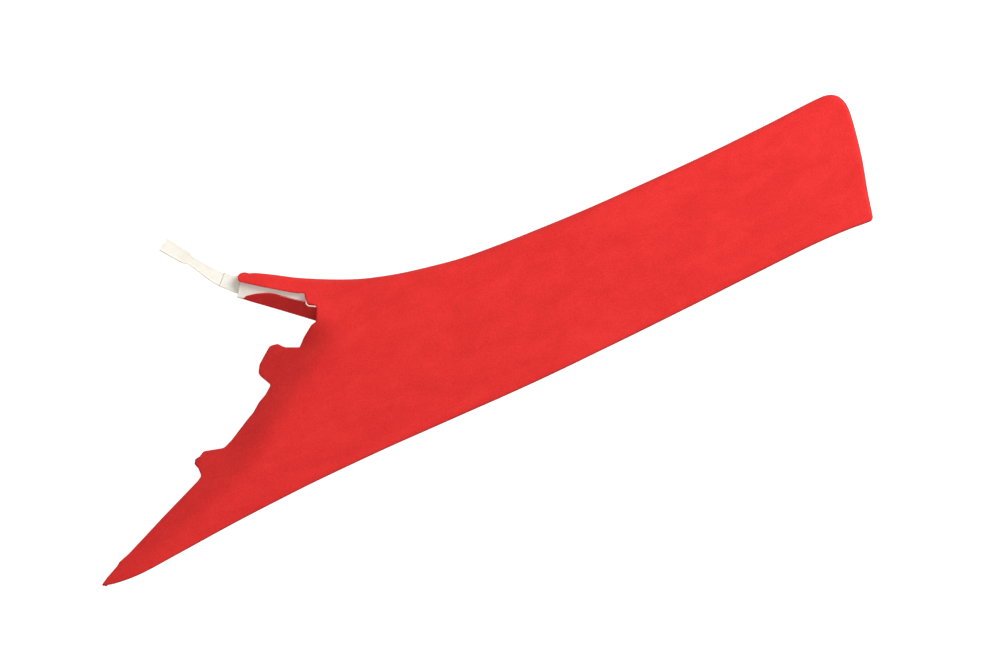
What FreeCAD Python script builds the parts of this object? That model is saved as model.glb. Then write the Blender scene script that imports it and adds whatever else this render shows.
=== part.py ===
import FreeCAD, Part
import math
import os

V = FreeCAD.Vector

# ---------------------------------------------------------------------------
# Windscreen-pillar (A-pillar) trim panel of a passenger car.
# A moulded carrier is wrapped in thin suede cloth; its hollow back takes the
# body pillar.  Towers, push clips, locators, impact ribs, felt and foam pieces
# sit in the hollow, and a flexible nylon tether leaves the tip of the leg.
# Construction frame: +X along the pillar, +Y across it, +Z out of the visible
# face.  DX, DY move the finished model so that its box is centred on Z.
# ---------------------------------------------------------------------------

# driving dimensions, mm
DX, DY = -386.278, -122.671      # construction frame to part frame
T_WALL = 2.5                   # carrier wall
T_CLOTH = 1.0                  # cloth wrap
GLUE = 0.05                    # adhesive film between carrier and cloth
R_EDGE = 3.6                   # rolled edge of the carrier's visible face
FELT = 1.5                     # felt feet under the rim
RIM_END = FELT + T_CLOTH + GLUE        # height of the carrier's rim at both ends
RIM_MID = 9.0                  # height of the carrier's rim at mid-length
BOW = 9.0                      # bow of the face along its length
FACE_0 = 17.0                  # height of the face at the ends, lower edge
TILT = 0.085                   # slope of the face across its width
CROWN = 2.5                    # crown of the face across its width
FLANGE_SLOPE = 0.62            # slope of the flange that tucks under the dashboard
BAND_SLOPE = 0.30              # slope of the band along the windscreen edge
CLIP_FLOAT = 1.5               # travel of a push clip in its tower, each way
TOWER_H = 9.0                  # height of a clip tower
RIB_T = 1.4                    # impact-rib wall
TETHER_T = 1.3                 # tether thickness

# outer outline of the wrapped panel, seen along -Z (construction frame)
LOWER = [(-1.0, 0.3), (9.6, -2.4), (25.2, -4.3), (37.8, -4.8), (75.0, -3.2), (119.9, -1.0),
         (165.0, 0.4), (213.9, 1.0), (280.0, 0.0), (350.0, -2.6), (423.5, -5.0), (495.0, -5.4),
         (564.3, -5.2), (630.0, -4.4), (697.2, -3.9), (727.9, -5.2), (748.0, -7.4)]
END = [(754.6, -3.0), (759.0, 17.6), (767.7, 49.5), (774.0, 81.5)]
UPPER = [(759.7, 110.3), (747.2, 110.5), (704.4, 109.3), (660.2, 109.1), (600.0, 109.9), (541.1, 111.7),
         (495.0, 114.1), (453.7, 117.1), (414.5, 121.2), (396.5, 124.3), (359.4, 132.6), (337.2, 139.3),
         (319.8, 145.8), (296.0, 157.2), (272.9, 170.1), (257.0, 180.6), (241.5, 190.4), (229.2, 195.0)]
# open (left) side: leg tip, slot, flange edge with its two tucking tabs; (x, y, corner radius)
LEFT = [(229.2, 195.0, 0), (226.0, 193.0, 0), (226.2, 188.7, 0), (256.7, 164.9, 30), (273.4, 154.3, 1.5),
        (271.8, 145.2, 1.5), (278.5, 139.6, 0), (272.1, 127.2, 2), (266.9, 126.4, 3), (256.1, 119.8, 8),
        (248.8, 113.5, 1), (236.5, 119.4, 6), (231.6, 125.2, 3), (224.4, 126.6, 4), (209.2, 115.8, 5), (205.0, 109.2, 4),
        (205.8, 105.5, 2), (211.2, 94.8, 2), (195.0, 85.0, 20), (179.1, 76.2, 30), (158.7, 66.3, 20), (149.4, 63.0, 8),
        (131.2, 68.5, 3), (119.6, 62.6, 1.2), (120.6, 57.6, 2), (120.6, 49.6, 3), (116.0, 47.0, 8), (32.2, 15.8, 20),
        (21.0, 12.4, 0.8), (17.9, 10.3, 1.0), (-1.4, 1.6, 0)]
# line where the face bends into the flange, and width of the sloping band along the windscreen edge
CREASE = [(-80, -34.0), (52.3, 1.5), (76.7, 9.6), (100.2, 17.0), (123.7, 24.8), (148.1, 33.6), (167.6, 43.0),
          (185.6, 53.4), (203.6, 64.2), (222.4, 74.6), (242.0, 84.6), (260.8, 94.6), (283.5, 103.5), (420, 165.0)]
BAND = [(-80, 48.0), (285, 48.0), (314, 40.0), (343, 29.5), (390, 24.0), (438, 19.0), (487, 13.5), (541, 6.0), (600, 3.0), (900, 3.0)]
# leg: lower edge of the face strip, upper and lower edge of the lower flange (construction frame)
SLOT_F = [(226.2, 188.7), (240.0, 177.4), (256.7, 165.2), (273.4, 154.3)]
SLOT_H = [(222.9, 174.6), (238.5, 171.2), (255.0, 160.6), (270.4, 148.2)]
SLOT_K = [(221.6, 173.6), (236.5, 161.0), (252.8, 145.9), (271.5, 128.4)]


def lerp(tab, x):
    if x <= tab[0][0]:
        return tab[0][1]
    for (x0, y0), (x1, y1) in zip(tab, tab[1:]):
        if x <= x1:
            return y0 + (y1 - y0) * (x - x0) / (x1 - x0)
    return tab[-1][1]


def smooth_lerp(tab, x, w):
    return sum(lerp(tab, x + w * k) * c for k, c in ((-1, 0.25), (-0.5, 0.25), (0, 0.0), (0.5, 0.25), (1, 0.25)))


def softplus(d, w):
    if d > 30 * w:
        return d
    return w * math.log1p(math.exp(d / w))


def step(a, b, x):
    t = min(1.0, max(0.0, (x - a) / (b - a)))
    return t * t * (3 - 2 * t)


TOP_LINE = sorted((p for p in UPPER), key=lambda p: p[0])
TOP_LINE = [(140.0, 235.0)] + TOP_LINE + [(860.0, 111.5)]


def z_face(x, y):
    """Height of the carrier's visible face."""
    s = (x - 388.0) / 388.0
    z = FACE_0 + BOW * (1 - s * s) + TILT * y + CROWN * (1 - ((y - 50.0) / 58.0) ** 2)
    # flange
    d = (y - smooth_lerp(CREASE, x, 14.0)) * 0.89
    dk = 0.684 * (x - 270.7) + 0.729 * (y - 129.4)
    z -= FLANGE_SLOPE * (1 - step(-14.0, 8.0, dk)) * softplus(d, 4.5)
    # band along the windscreen edge
    x0, x1 = x - 3.0, x + 3.0
    g = (lerp(TOP_LINE, x1) - lerp(TOP_LINE, x0)) / 6.0
    e = (smooth_lerp(TOP_LINE, x, 10.0) - y) / math.sqrt(1 + g * g)
    z -= BAND_SLOPE * softplus(smooth_lerp(BAND, x, 14.0) - e, 5.0)
    # the lower corner of the upper end dips
    z -= 2.2 * math.exp(-((x - 760.0) ** 2 + (y + 8.0) ** 2) / 900.0)
    return z


def z_off(x, y, t):
    """Height of the surface t outside (or, if negative, inside) the face."""
    h = 1.0
    gx = (z_face(x + h, y) - z_face(x - h, y)) / (2 * h)
    gy = (z_face(x, y + h) - z_face(x, y - h)) / (2 * h)
    return z_face(x, y) + t * math.sqrt(1 + gx * gx + gy * gy)


XS = [-45 + 11.0 * i for i in range(35)] + [335 + 19.5 * i for i in range(1, 26)]
YS = [-40 + 10.0 * i for i in range(30)]
SURF = {}


def below(t):
    """Solid below the surface t outside the face."""
    if t not in SURF:
        bs = Part.BSplineSurface()
        bs.interpolate([[V(x, y, z_off(x, y, t)) for y in YS] for x in XS])
        SURF[t] = bs.toShape().extrude(V(0, 0, -160))
        if SURF[t].Volume < 0:
            SURF[t].reverse()
    return SURF[t].copy()


def curve(points):
    c = Part.BSplineCurve()
    c.interpolate([V(x, y, 0) for x, y in points])
    return c


def offset_points(points, d, closed_left=True):
    """Points moved d to the inside (left of travel when the outline runs anticlockwise)."""
    c = curve(points)
    out = []
    for x, y in points:
        u = c.parameter(V(x, y, 0))
        t = c.tangent(u)[0]
        out.append((x - t.y * d, y + t.x * d))
    return out


def chain(d):
    """Lower edge, end and windscreen edge as one curve each, moved d inside, run anticlockwise."""
    low = offset_points(LOWER, d)
    end = offset_points(END, d)
    up = offset_points(UPPER, d)
    return low, end, up


def outline_wire(d, reach):
    """Closed outline whose left side lies 'reach' outside the panel, so that the left side stays open."""
    low, end, up = chain(d)
    # sharp lower corner of the end: meet the two lines
    (ax, ay), (bx, by) = low[-2], low[-1]
    (cx, cy), (ex, ey) = end[0], end[1]
    u1 = (bx - ax, by - ay)
    u2 = (cx - ex, cy - ey)
    den = u1[0] * u2[1] - u1[1] * u2[0]
    t = ((cx - bx) * u2[1] - (cy - by) * u2[0]) / den
    corner = (bx + u1[0] * t, by + u1[1] * t)
    rc = max(0.6, 5.0 - d)
    l1, l2 = math.hypot(*u1), math.hypot(*u2)
    e1 = (-u1[0] / l1, -u1[1] / l1)
    e2 = (-u2[0] / l2, -u2[1] / l2)
    half = math.acos(e1[0] * e2[0] + e1[1] * e2[1]) / 2
    tl = rc / math.tan(half)
    p1 = (corner[0] + e1[0] * tl, corner[1] + e1[1] * tl)
    p2 = (corner[0] + e2[0] * tl, corner[1] + e2[1] * tl)
    bis = ((e1[0] + e2[0]), (e1[1] + e2[1]))
    bl = math.hypot(*bis)
    dist = rc / math.sin(half) - rc
    pm = (corner[0] + bis[0] / bl * dist, corner[1] + bis[1] / bl * dist)
    # left side runs out to the far left
    l0, l1p = low[0], low[1]
    dirl = (l0[0] - l1p[0], l0[1] - l1p[1])
    n = math.hypot(*dirl)
    left_low = (l0[0] + dirl[0] / n * reach, l0[1] + dirl[1] / n * reach)
    uN, uM = up[-1], up[-2]
    dirt = (uN[0] - uM[0], uN[1] - uM[1])
    n = math.hypot(*dirt)
    left_up = (uN[0] + dirt[0] / n * reach, uN[1] + dirt[1] / n * reach)
    lowpts = [left_low] + low[:-1] + [p1]
    cl = curve(lowpts)
    arc1 = Part.Arc(V(p1[0], p1[1], 0), V(pm[0], pm[1], 0), V(p2[0], p2[1], 0))
    side = [p2] + end[1:]
    # end side, rounded upper corner and windscreen edge
    a, b = end[-1], up[0]
    cs = curve(side)
    t_end = cs.tangent(cs.LastParameter)[0]
    cu = curve(up + [left_up])
    t_up = cu.tangent(cu.FirstParameter)[0]
    rnd = Part.BSplineCurve()
    k = math.hypot(b[0] - a[0], b[1] - a[1])
    rnd.interpolate(Points=[V(a[0], a[1], 0), V(775.2 - d, 94.0, 0), V(772.2 - d * 0.86, 103.4 - d * 0.5, 0), V(b[0], b[1], 0)],
                    InitialTangent=t_end * k, FinalTangent=t_up * k)
    edges = [cl.toShape(), arc1.toShape(), cs.toShape(), rnd.toShape(), cu.toShape(),
             Part.LineSegment(V(left_up[0], left_up[1], 0), V(left_low[0], left_low[1], 0)).toShape()]
    return Part.Wire(edges)


def block(t, d, reach, r):
    """Solid under the surface t outside the face, inside the outline moved d in, with rolled edges of radius r."""
    prism = Part.Face(outline_wire(d, reach)).extrude(V(0, 0, 90))
    prism.translate(V(0, 0, -30))
    body = prism.common(below(t))
    body = body.Solids[0] if body.Solids else body
    if r <= 0:
        return body
    top = []
    for e in body.Edges:
        m = e.valueAt((e.FirstParameter + e.LastParameter) / 2)
        if m.z < 0 or m.x < -20:
            continue
        if abs(e.valueAt(e.FirstParameter).z - e.valueAt(e.LastParameter).z) > 60:
            continue
        if e.BoundBox.ZMax - e.BoundBox.ZMin > 50:
            continue
        if e.valueAt(e.FirstParameter).z < 0 or e.valueAt(e.LastParameter).z < 0:
            continue
        zf = z_off(m.x, m.y, t)
        if abs(m.z - zf) > 0.8:
            continue
        if m.x < 205 and m.y > 100:
            continue
        if m.x < 180 and m.y > 60:
            continue
        top.append(e)
    out = body.makeFillet(r, top)
    out = out.Solids[0] if out.Solids else out
    return out


def round_poly(pts, z, closed=True):
    """Wire through (x, y, r) corners, each rounded with its radius."""
    n = len(pts)
    edges = []
    data = []
    for i, (x, y, r) in enumerate(pts):
        if r <= 0:
            data.append(((x, y), (x, y), None))
            continue
        px, py = pts[i - 1][0], pts[i - 1][1]
        qx, qy = pts[(i + 1) % n][0], pts[(i + 1) % n][1]
        a = (px - x, py - y)
        b = (qx - x, qy - y)
        la, lb = math.hypot(*a), math.hypot(*b)
        a = (a[0] / la, a[1] / la)
        b = (b[0] / lb, b[1] / lb)
        cosv = max(-1, min(1, a[0] * b[0] + a[1] * b[1]))
        half = math.acos(cosv) / 2
        if half > 1.555:
            data.append(((x, y), (x, y), None))
            continue
        tl = min(r / math.tan(half), 0.42 * la, 0.42 * lb)
        rr = tl * math.tan(half)
        bis = (a[0] + b[0], a[1] + b[1])
        bl = math.hypot(*bis)
        dist = rr / math.sin(half) - rr
        data.append(((x + a[0] * tl, y + a[1] * tl), (x + b[0] * tl, y + b[1] * tl), (x + bis[0] / bl * dist, y + bis[1] / bl * dist)))
    for i in range(n):
        p_in, p_out, mid = data[i]
        if mid is not None:
            edges.append(Part.Arc(V(p_in[0], p_in[1], z), V(mid[0], mid[1], z), V(p_out[0], p_out[1], z)).toShape())
        nxt = data[(i + 1) % n][0]
        if math.hypot(nxt[0] - p_out[0], nxt[1] - p_out[1]) > 1e-6:
            edges.append(Part.LineSegment(V(p_out[0], p_out[1], z), V(nxt[0], nxt[1], z)).toShape())
    return Part.Wire(edges)


def left_void(grow):
    """Prism over everything left of the flange edge and the leg slot; grow moves the edge that far into the panel."""
    pts = []
    n = len(LEFT)
    for i, (x, y, r) in enumerate(LEFT):
        if grow and 0 < i < n - 1:
            px, py = LEFT[i - 1][0], LEFT[i - 1][1]
            qx, qy = LEFT[i + 1][0], LEFT[i + 1][1]
            a = (x - px, y - py)
            b = (qx - x, qy - y)
            la, lb = math.hypot(*a), math.hypot(*b)
            n1 = (-a[1] / la, a[0] / la)
            n2 = (-b[1] / lb, b[0] / lb)
            m = (n1[0] + n2[0], n1[1] + n2[1])
            ml = math.hypot(*m)
            k = min(2.0, 1 / max(0.35, (n1[0] * m[0] + n1[1] * m[1]) / ml))
            x, y = x + m[0] / ml * grow * k, y + m[1] / ml * grow * k
        elif grow and i == 0:
            x += grow * 0.3
        elif grow:
            x, y = x + grow * 0.9, y - grow * 0.45
        pts.append((x, y, r))
    pts = [(x, y, r) for x, y, r in pts]
    pts = [(215.0, 235.0, 0)] + pts + [(-25.0, -12.0, 0), (-60.0, -12.0, 0), (-60.0, 235.0, 0)]
    f = Part.Face(round_poly(pts, -60))
    return f.extrude(V(0, 0, 160))


def arch(z_end, z_mid, y0, y1, xa):
    """Solid below the rim line, which rises from z_end at both ends to z_mid at mid-length."""
    p = [V(-120, y0, z_end), V(xa, y0, z_end), V(700, y0, z_end), V(900, y0, z_end)]
    e = [Part.LineSegment(p[0], p[1]).toShape(), Part.Arc(p[1], V((xa + 700) / 2, y0, z_mid), p[2]).toShape(),
         Part.LineSegment(p[2], p[3]).toShape(), Part.LineSegment(p[3], V(900, y0, -90)).toShape(),
         Part.LineSegment(V(900, y0, -90), V(-120, y0, -90)).toShape(), Part.LineSegment(V(-120, y0, -90), p[0]).toShape()]
    return Part.Face(Part.Wire(e)).extrude(V(0, y1 - y0, 0))


def rim_cut(lift):
    """Everything below the rim; lift is measured from the felt feet's top."""
    z0 = FELT + lift
    low = arch(z0, RIM_MID - RIM_END + z0, -80, 62, 70)
    high = arch(z0, RIM_MID - RIM_END + z0, 62, 320, 318)
    return low.fuse(high)


def box(x0, x1, y0, y1, z0, z1):
    return Part.makeBox(x1 - x0, y1 - y0, z1 - z0, V(x0, y0, z0))


def cyl(x, y, z0, z1, r):
    return Part.makeCylinder(r, z1 - z0, V(x, y, z0))


def patch_below(t, x0, x1, y0, y1, n=10, m=8):
    """Solid below the surface t outside the face, over a small rectangle only."""
    bs = Part.BSplineSurface()
    bs.interpolate([[V(x0 + (x1 - x0) * i / (n - 1.0), y0 + (y1 - y0) * j / (m - 1.0),
                       z_off(x0 + (x1 - x0) * i / (n - 1.0), y0 + (y1 - y0) * j / (m - 1.0), t))
                     for j in range(m)] for i in range(n)])
    s = bs.toShape().extrude(V(0, 0, -90))
    return s


def layer(shape, t_top, t_bottom, x0, x1, y0, y1, n=10, m=8):
    """The part of a shape that lies between two offsets of the face."""
    s = shape.common(patch_below(t_top, x0 - 2, x1 + 2, y0 - 2, y1 + 2, n, m))
    if t_bottom is not None:
        s = s.cut(patch_below(t_bottom, x0 - 3, x1 + 3, y0 - 3, y1 + 3, n, m))
    return s


def leg(u, v):
    """Leg coordinates (u towards its tip, v towards the windscreen) to construction coordinates."""
    return 273.4 - 0.8 * u + 0.6 * v, 154.3 + 0.6 * u + 0.8 * v


def leg_section(u, pts):
    w = []
    for v, z in pts:
        x, y = leg(u, v)
        w.append(V(x, y, z))
    return Part.makePolygon(w + [w[0]])


# stations along the leg: u, lower edge of the strip, upper and lower edge of the flange
STATIONS = [(-10.0, 0.5, -7.0, -21.5), (5.0, -0.3, -6.5, -19.7), (20.0, -1.3, -6.0, -18.3), (37.0, -1.5, -7.4, -16.8), (51.0, -1.2, -12.6, -15.6), (58.0, -0.9, -13.4, -15.0)]
WEB_DROP = 4.0                 # depth of the leg's channel below the face
LEG_SLOPE = 0.95               # slope of the leg's lower flange
WRAP_GAP = 0.4                 # glue line under the leg's cloth


def leg_levels(u, f, h, k):
    x, y = leg(u, f)
    zf = z_face(x, y)
    zh = zf - WEB_DROP - 1.0
    return zf, zh, zh - LEG_SLOPE * (h - k)


STAKES = []                    # x, y, height of the foot's underside


def foot_hole(x, y):
    STAKES.append((x, y, z_off(x, y, -T_WALL - FOOT_GAP - FOOT_T)))
    return cyl(x, y, -20, 60, 1.45)


FOOT_T = 1.6
FOOT_GAP = 0.3                 # glue line between a foot and the carrier


def clip_tower(cx, cy, zb):
    """Doghouse tower with a keyhole slot for a push clip, open towards +X."""
    t0 = -T_WALL - FOOT_GAP
    house = box(cx - 10.5, cx + 10.5, cy - 9, cy + 9, zb, 60)
    house = house.cut(box(cx - 8.7, cx + 14, cy - 7.2, cy + 7.2, zb + 2.0, 60))
    house = layer(house, t0, None, cx - 15, cx + 15, cy - 13, cy + 13)
    foot = layer(box(cx - 14.5, cx + 14.5, cy - 13, cy + 13, -10, 60), t0, t0 - FOOT_T, cx - 15, cx + 15, cy - 13, cy + 13)
    tower = house.fuse(foot)
    for sy in (-1, 1):
        for xx in (cx - 6, cx + 6):
            y0, y1 = (cy + 8.9, cy + 12.6) if sy > 0 else (cy - 12.6, cy - 8.9)
            tri = Part.Face(Part.makePolygon([V(xx - 0.8, cy + sy * 8.9, zb + 0.6), V(xx - 0.8, cy + sy * 12.6, z_off(xx, cy, t0) - FOOT_T - 0.2),
                                              V(xx - 0.8, cy + sy * 12.6, z_off(xx, cy, t0) - 0.9), V(xx - 0.8, cy + sy * 8.9, z_off(xx, cy, t0) - 0.9),
                                              V(xx - 0.8, cy + sy * 8.9, zb + 0.6)])).extrude(V(1.6, 0, 0))
            tower = tower.fuse(tri)
    slot = cyl(cx - 1.65, cy, zb - 1, zb + 3, 3.0).fuse([box(cx - 1.65, cx + 1.65, cy - 3.0, cy + 3.0, zb - 1, zb + 3), cyl(cx + 1.65, cy, zb - 1, zb + 3, 3.0),
                                                        box(cx + 1.65, cx + 12, cy - 2.65, cy + 2.65, zb - 1, zb + 3)])
    funnel = Part.Face(Part.makePolygon([V(cx + 7.5, cy - 2.6, zb - 1), V(cx + 11, cy - 4.4, zb - 1), V(cx + 11, cy + 4.4, zb - 1),
                                         V(cx + 7.5, cy + 2.6, zb - 1), V(cx + 7.5, cy - 2.6, zb - 1)])).extrude(V(0, 0, 4))
    tower = tower.cut([slot, funnel])
    tower = tower.cut([foot_hole(cx + sx * 12.2, cy + sy * 10.4) for sx in (-1, 1) for sy in (-1, 1)])
    return tower.removeSplitter()


def push_clip(cx, cy, zb):
    """Push-in body clip: two flanges, a neck, a barbed stud with four legs."""
    prof = [(0, 3.65), (6.5, 3.65), (6.5, 2.15), (2.8, 2.15), (2.8, -0.15), (7.0, -0.15), (7.0, -1.35), (3.6, -1.35), (3.6, -4.0), (4.7, -6.2),
            (4.2, -7.2), (3.1, -10.8), (1.7, -12.4), (0, -12.4)]
    w = Part.makePolygon([V(cx + r, cy, zb + z) for r, z in prof] + [V(cx, cy, zb + 3.65)])
    s = Part.Face(w).revolve(V(cx, cy, 0), V(0, 0, 1), 360)
    s = s.cut([box(cx - 8, cx + 8, cy - 0.7, cy + 0.7, zb - 10.2, zb - 3.6), box(cx - 0.7, cx + 0.7, cy - 8, cy + 8, zb - 10.2, zb - 3.6)])
    s = s.fuse(cyl(cx, cy, zb - 11, zb - 1.3, 1.5))
    return s.removeSplitter()


def clip_seal(cx, cy, zb):
    s = cyl(cx, cy, zb - 3.4, zb - 1.4, 8.0).cut(cyl(cx, cy, zb - 4, zb, 4.3))
    return s.makeFillet(0.6, [e for e in s.Edges if abs(e.BoundBox.XMax - e.BoundBox.XMin - 16) < 0.1 and e.BoundBox.ZMax - e.BoundBox.ZMin < 0.1])


def impact_ribs(x0, x1, y0, y1, nx, ny, depth):
    """Open egg-crate of thin ribs that follows the face and collapses under a head impact."""
    t0 = -T_WALL - 0.1
    bars = []
    for i in range(nx):
        x = x0 + (x1 - x0 - RIB_T) * i / (nx - 1.0)
        bars.append(box(x, x + RIB_T, y0, y1, -10, 60))
    for j in range(ny):
        y = y0 + (y1 - y0 - RIB_T) * j / (ny - 1.0)
        bars.append(box(x0, x1, y, y + RIB_T, -10, 60))
    grid = bars[0].fuse(bars[1:])
    grid = layer(grid, t0, t0 - depth, x0 - 1, x1 + 1, y0 - 1, y1 + 1, 8, 6)
    feet = []
    holes = []
    for fx in (x0 + 9, (x0 + x1) / 2, x1 - 9):
        for fy, sy in ((y0 - 4.6, -1), (y1 + 4.6, 1)):
            a, b = (fy - 4.6, y0 + 0.5) if sy < 0 else (y1 - 0.5, fy + 4.6)
            feet.append(layer(box(fx - 6, fx + 6, a, b, -10, 60), t0, t0 - FOOT_T, fx - 7, fx + 7, a - 1, b + 1, 5, 5))
            holes.append(foot_hole(fx, fy))
    return grid.fuse(feet).cut(holes).removeSplitter()


def finish(shape, name):
    s = shape.copy()
    s.translate(V(DX, DY, 0))
    sol = sorted(s.Solids, key=lambda q: -q.Volume)
    s = sol[0]
    print("%-22s solids %d valid %s vol %.1f  x %.1f..%.1f y %.1f..%.1f z %.2f..%.2f" % (
        name, len(sol), s.isValid(), s.Volume, s.BoundBox.XMin, s.BoundBox.XMax, s.BoundBox.YMin, s.BoundBox.YMax, s.BoundBox.ZMin, s.BoundBox.ZMax), flush=True)
    s.exportStep("parts/%s.step" % name)
    return s


os.makedirs("parts", exist_ok=True)

# --- clips, towers, ribs, locators -----------------------------------------
CLIPS = {"upper": (706.0, 48.0, 15.6), "middle": (462.0, 50.0, 19.0), "lower": (216.0, 38.0, 18.2)}
for name, (cx, cy, zb) in CLIPS.items():
    finish(clip_tower(cx, cy, zb), "clip_tower_" + name)
    finish(push_clip(cx, cy, zb), "clip_" + name)
    finish(clip_seal(cx, cy, zb), "seal_" + name)

finish(impact_ribs(500.0, 678.0, 24.0, 82.0, 10, 4, 11.0), "upper_impact_ribs")
finish(impact_ribs(304.0, 428.0, 24.0, 86.0, 7, 4, 12.0), "lower_impact_ribs")

# round four-way locating pin on a ribbed pedestal
PX, PY = 266.0, 60.0
PIN_R, PIN_L, PIN_Z = 3.9, 11.0, 4.6
t0 = -T_WALL - 0.1
pin = cyl(PX, PY, PIN_Z, PIN_Z + PIN_L, PIN_R)
nose = Part.makeCone(PIN_R - 1.4, PIN_R, 1.6, V(PX, PY, PIN_Z - 1.6))
ped = box(PX - 8, PX + 8, PY - 0.9, PY + 0.9, PIN_Z + PIN_L, 60).fuse([box(PX - 0.9, PX + 0.9, PY - 8, PY + 8, PIN_Z + PIN_L, 60),
                                                                       cyl(PX, PY, PIN_Z + PIN_L, 60, 5.2)])
ped = layer(ped, t0, None, PX - 16, PX + 16, PY - 12, PY + 12)
pfoot = layer(cyl(PX, PY, -10, 60, 14.5), t0, t0 - FOOT_T, PX - 16, PX + 16, PY - 16, PY + 16)
pinp = pin.fuse([nose, ped, pfoot]).cut([foot_hole(PX + 9.2 * sx, PY + 7.2 * sy) for sx in (-1, 1) for sy in (-1, 1)])
finish(pinp.removeSplitter(), "locator_pin")

# flat two-way locating blade near the upper end
BX, BY, BZ = 744.0, 62.0, 5.0
blade = box(BX - 1.5, BX + 1.5, BY - 7, BY + 7, BZ, 60)
blade = blade.fuse([box(BX - 7, BX + 7, BY - 0.9, BY + 0.9, BZ + 9, 60)])
blade = layer(blade, t0, None, BX - 10, BX + 9, BY - 15, BY + 15)
bfoot = layer(box(BX - 9, BX + 8, BY - 14, BY + 14, -10, 60), t0, t0 - FOOT_T, BX - 9, BX + 8, BY - 14, BY + 14)
bl = blade.fuse(bfoot)
lead = []
for s in (-1, 1):
    lead.append(Part.Face(Part.makePolygon([V(BX - 4, BY + s * 8, BZ - 0.1), V(BX - 4, BY + s * 5, BZ - 0.1), V(BX - 4, BY + s * 7.2, BZ + 3.2),
                                            V(BX - 4, BY + s * 8, BZ + 3.2), V(BX - 4, BY + s * 8, BZ - 0.1)])).extrude(V(8, 0, 0)))
bl = bl.cut(lead + [foot_hole(BX + 0.0, BY - 10.8), foot_hole(BX + 0.0, BY + 10.8)])
finish(bl.removeSplitter(), "locator_blade")

# --- soft pieces in the hollow ---------------------------------------------
foam = layer(Part.Face(round_poly([(112, 3, 4), (172, 6, 4), (172, 27, 4), (146, 22, 6), (112, 11, 3)], -10)).extrude(V(0, 0, 60)),
             t0, t0 - 10.0, 110, 174, 1, 29)
finish(foam, "foam_block")
felt = layer(Part.Face(round_poly([(70, 10.5, 2), (96, 19.5, 9), (146, 41.5, 9), (186, 67.0, 2), (181, 74.0, 2), (140, 50.5, 9), (92, 28.5, 9), (67, 18.0, 2)], -10)).extrude(V(0, 0, 60)),
             t0, t0 - 1.5, 64, 190, 8, 78, 22, 12)
finish(felt, "felt_strip_flange")

# --- leg: channel web and lower flange --------------------------------------
sections, patch = [], []
for (u, f, h, k) in STATIONS:
    zf, zh, zk = leg_levels(u, f, h, k)
    sections.append(leg_section(u, [(f + 3.0, zf - 1.6), (f + 0.6, zf - 1.6), (f + 0.6, zf - WEB_DROP), (h, zh), (k, zk),
                                    (k + 1.9, zk - 0.8), (h + 1.4, zh - 2.3), (f + 3.0, zf - WEB_DROP - 2.2)]))
    n = math.hypot(h - k, zh - zk)
    nv, nz = -(zh - zk) / n, (h - k) / n
    g0, g1 = WRAP_GAP, WRAP_GAP + T_CLOTH
    patch.append(leg_section(u, [(h + nv * g0, zh + nz * g0), (h + nv * g1, zh + nz * g1), (k + nv * g1, zk + nz * g1), (k + nv * g0, zk + nz * g0)]))
web = Part.makeLoft(sections, True, False)
wrap = Part.makeLoft(patch[1:5], True, False)
print("web", web.isValid(), round(web.Volume, 1), "wrap", wrap.isValid(), round(wrap.Volume, 1))
finish(wrap, "leg_flange_wrap")

ZT = z_face(*leg(57.0, 1.0))
TETHER_TOP = ZT - WEB_DROP - 2.2 - 0.5
tip_relief = Part.Face(Part.makePolygon([V(*leg(52.0, -22.0), -20), V(*leg(80.0, -22.0), -20), V(*leg(80.0, 22.0), -20), V(*leg(50.0, 22.0), -20),
                                         V(*leg(52.0, -22.0), -20)])).extrude(V(0, 0, TETHER_TOP + 0.35 + 20))
print("ZT", ZT, "tether top", TETHER_TOP)
print("face heights", [(p, round(z_face(*p), 1)) for p in ((0, 0), (60, 10), (149, 63), (209, 100), (229, 192), (256, 168), (330, 60), (470, 50), (700, 50), (760, 90))])

# --- tether -----------------------------------------------------------------
# centre line of the tether: x, y, half width, top height
TET = [(222.4, 188.1, 7.7, 0.0), (217.9, 192.6, 7.3, -0.5), (212.4, 198.0, 6.7, -1.2), (207.9, 203.9, 6.2, -1.7), (202.6, 212.2, 5.3, -2.4),
       (198.2, 219.6, 4.6, -3.1), (194.6, 225.2, 4.25, -3.6)]
PAD = [(194.3, 225.8, 4.6, -3.7), (193.0, 228.0, 5.9, -3.9), (189.5, 233.3, 6.3, -4.4), (184.4, 241.1, 6.7, -5.0), (179.4, 249.1, 7.0, -5.6)]


def flat_strip(rows, thick, first_dir, last_dir):
    """Thin bar following a centre line of (x, y, half width, height below the tether's top)."""
    secs = []
    n = len(rows)
    for i, (x, y, w, dz) in enumerate(rows):
        if i == 0:
            d = first_dir
        elif i == n - 1:
            d = last_dir
        else:
            d = (rows[i + 1][0] - rows[i - 1][0], rows[i + 1][1] - rows[i - 1][1])
        ln = math.hypot(*d)
        nx, ny = -d[1] / ln, d[0] / ln
        z = TETHER_TOP + dz
        secs.append(Part.makePolygon([V(x + nx * w, y + ny * w, z), V(x - nx * w, y - ny * w, z), V(x - nx * w, y - ny * w, z - thick),
                                      V(x + nx * w, y + ny * w, z - thick), V(x + nx * w, y + ny * w, z)]))
    return Part.makeLoft(secs, True, False)


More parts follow.
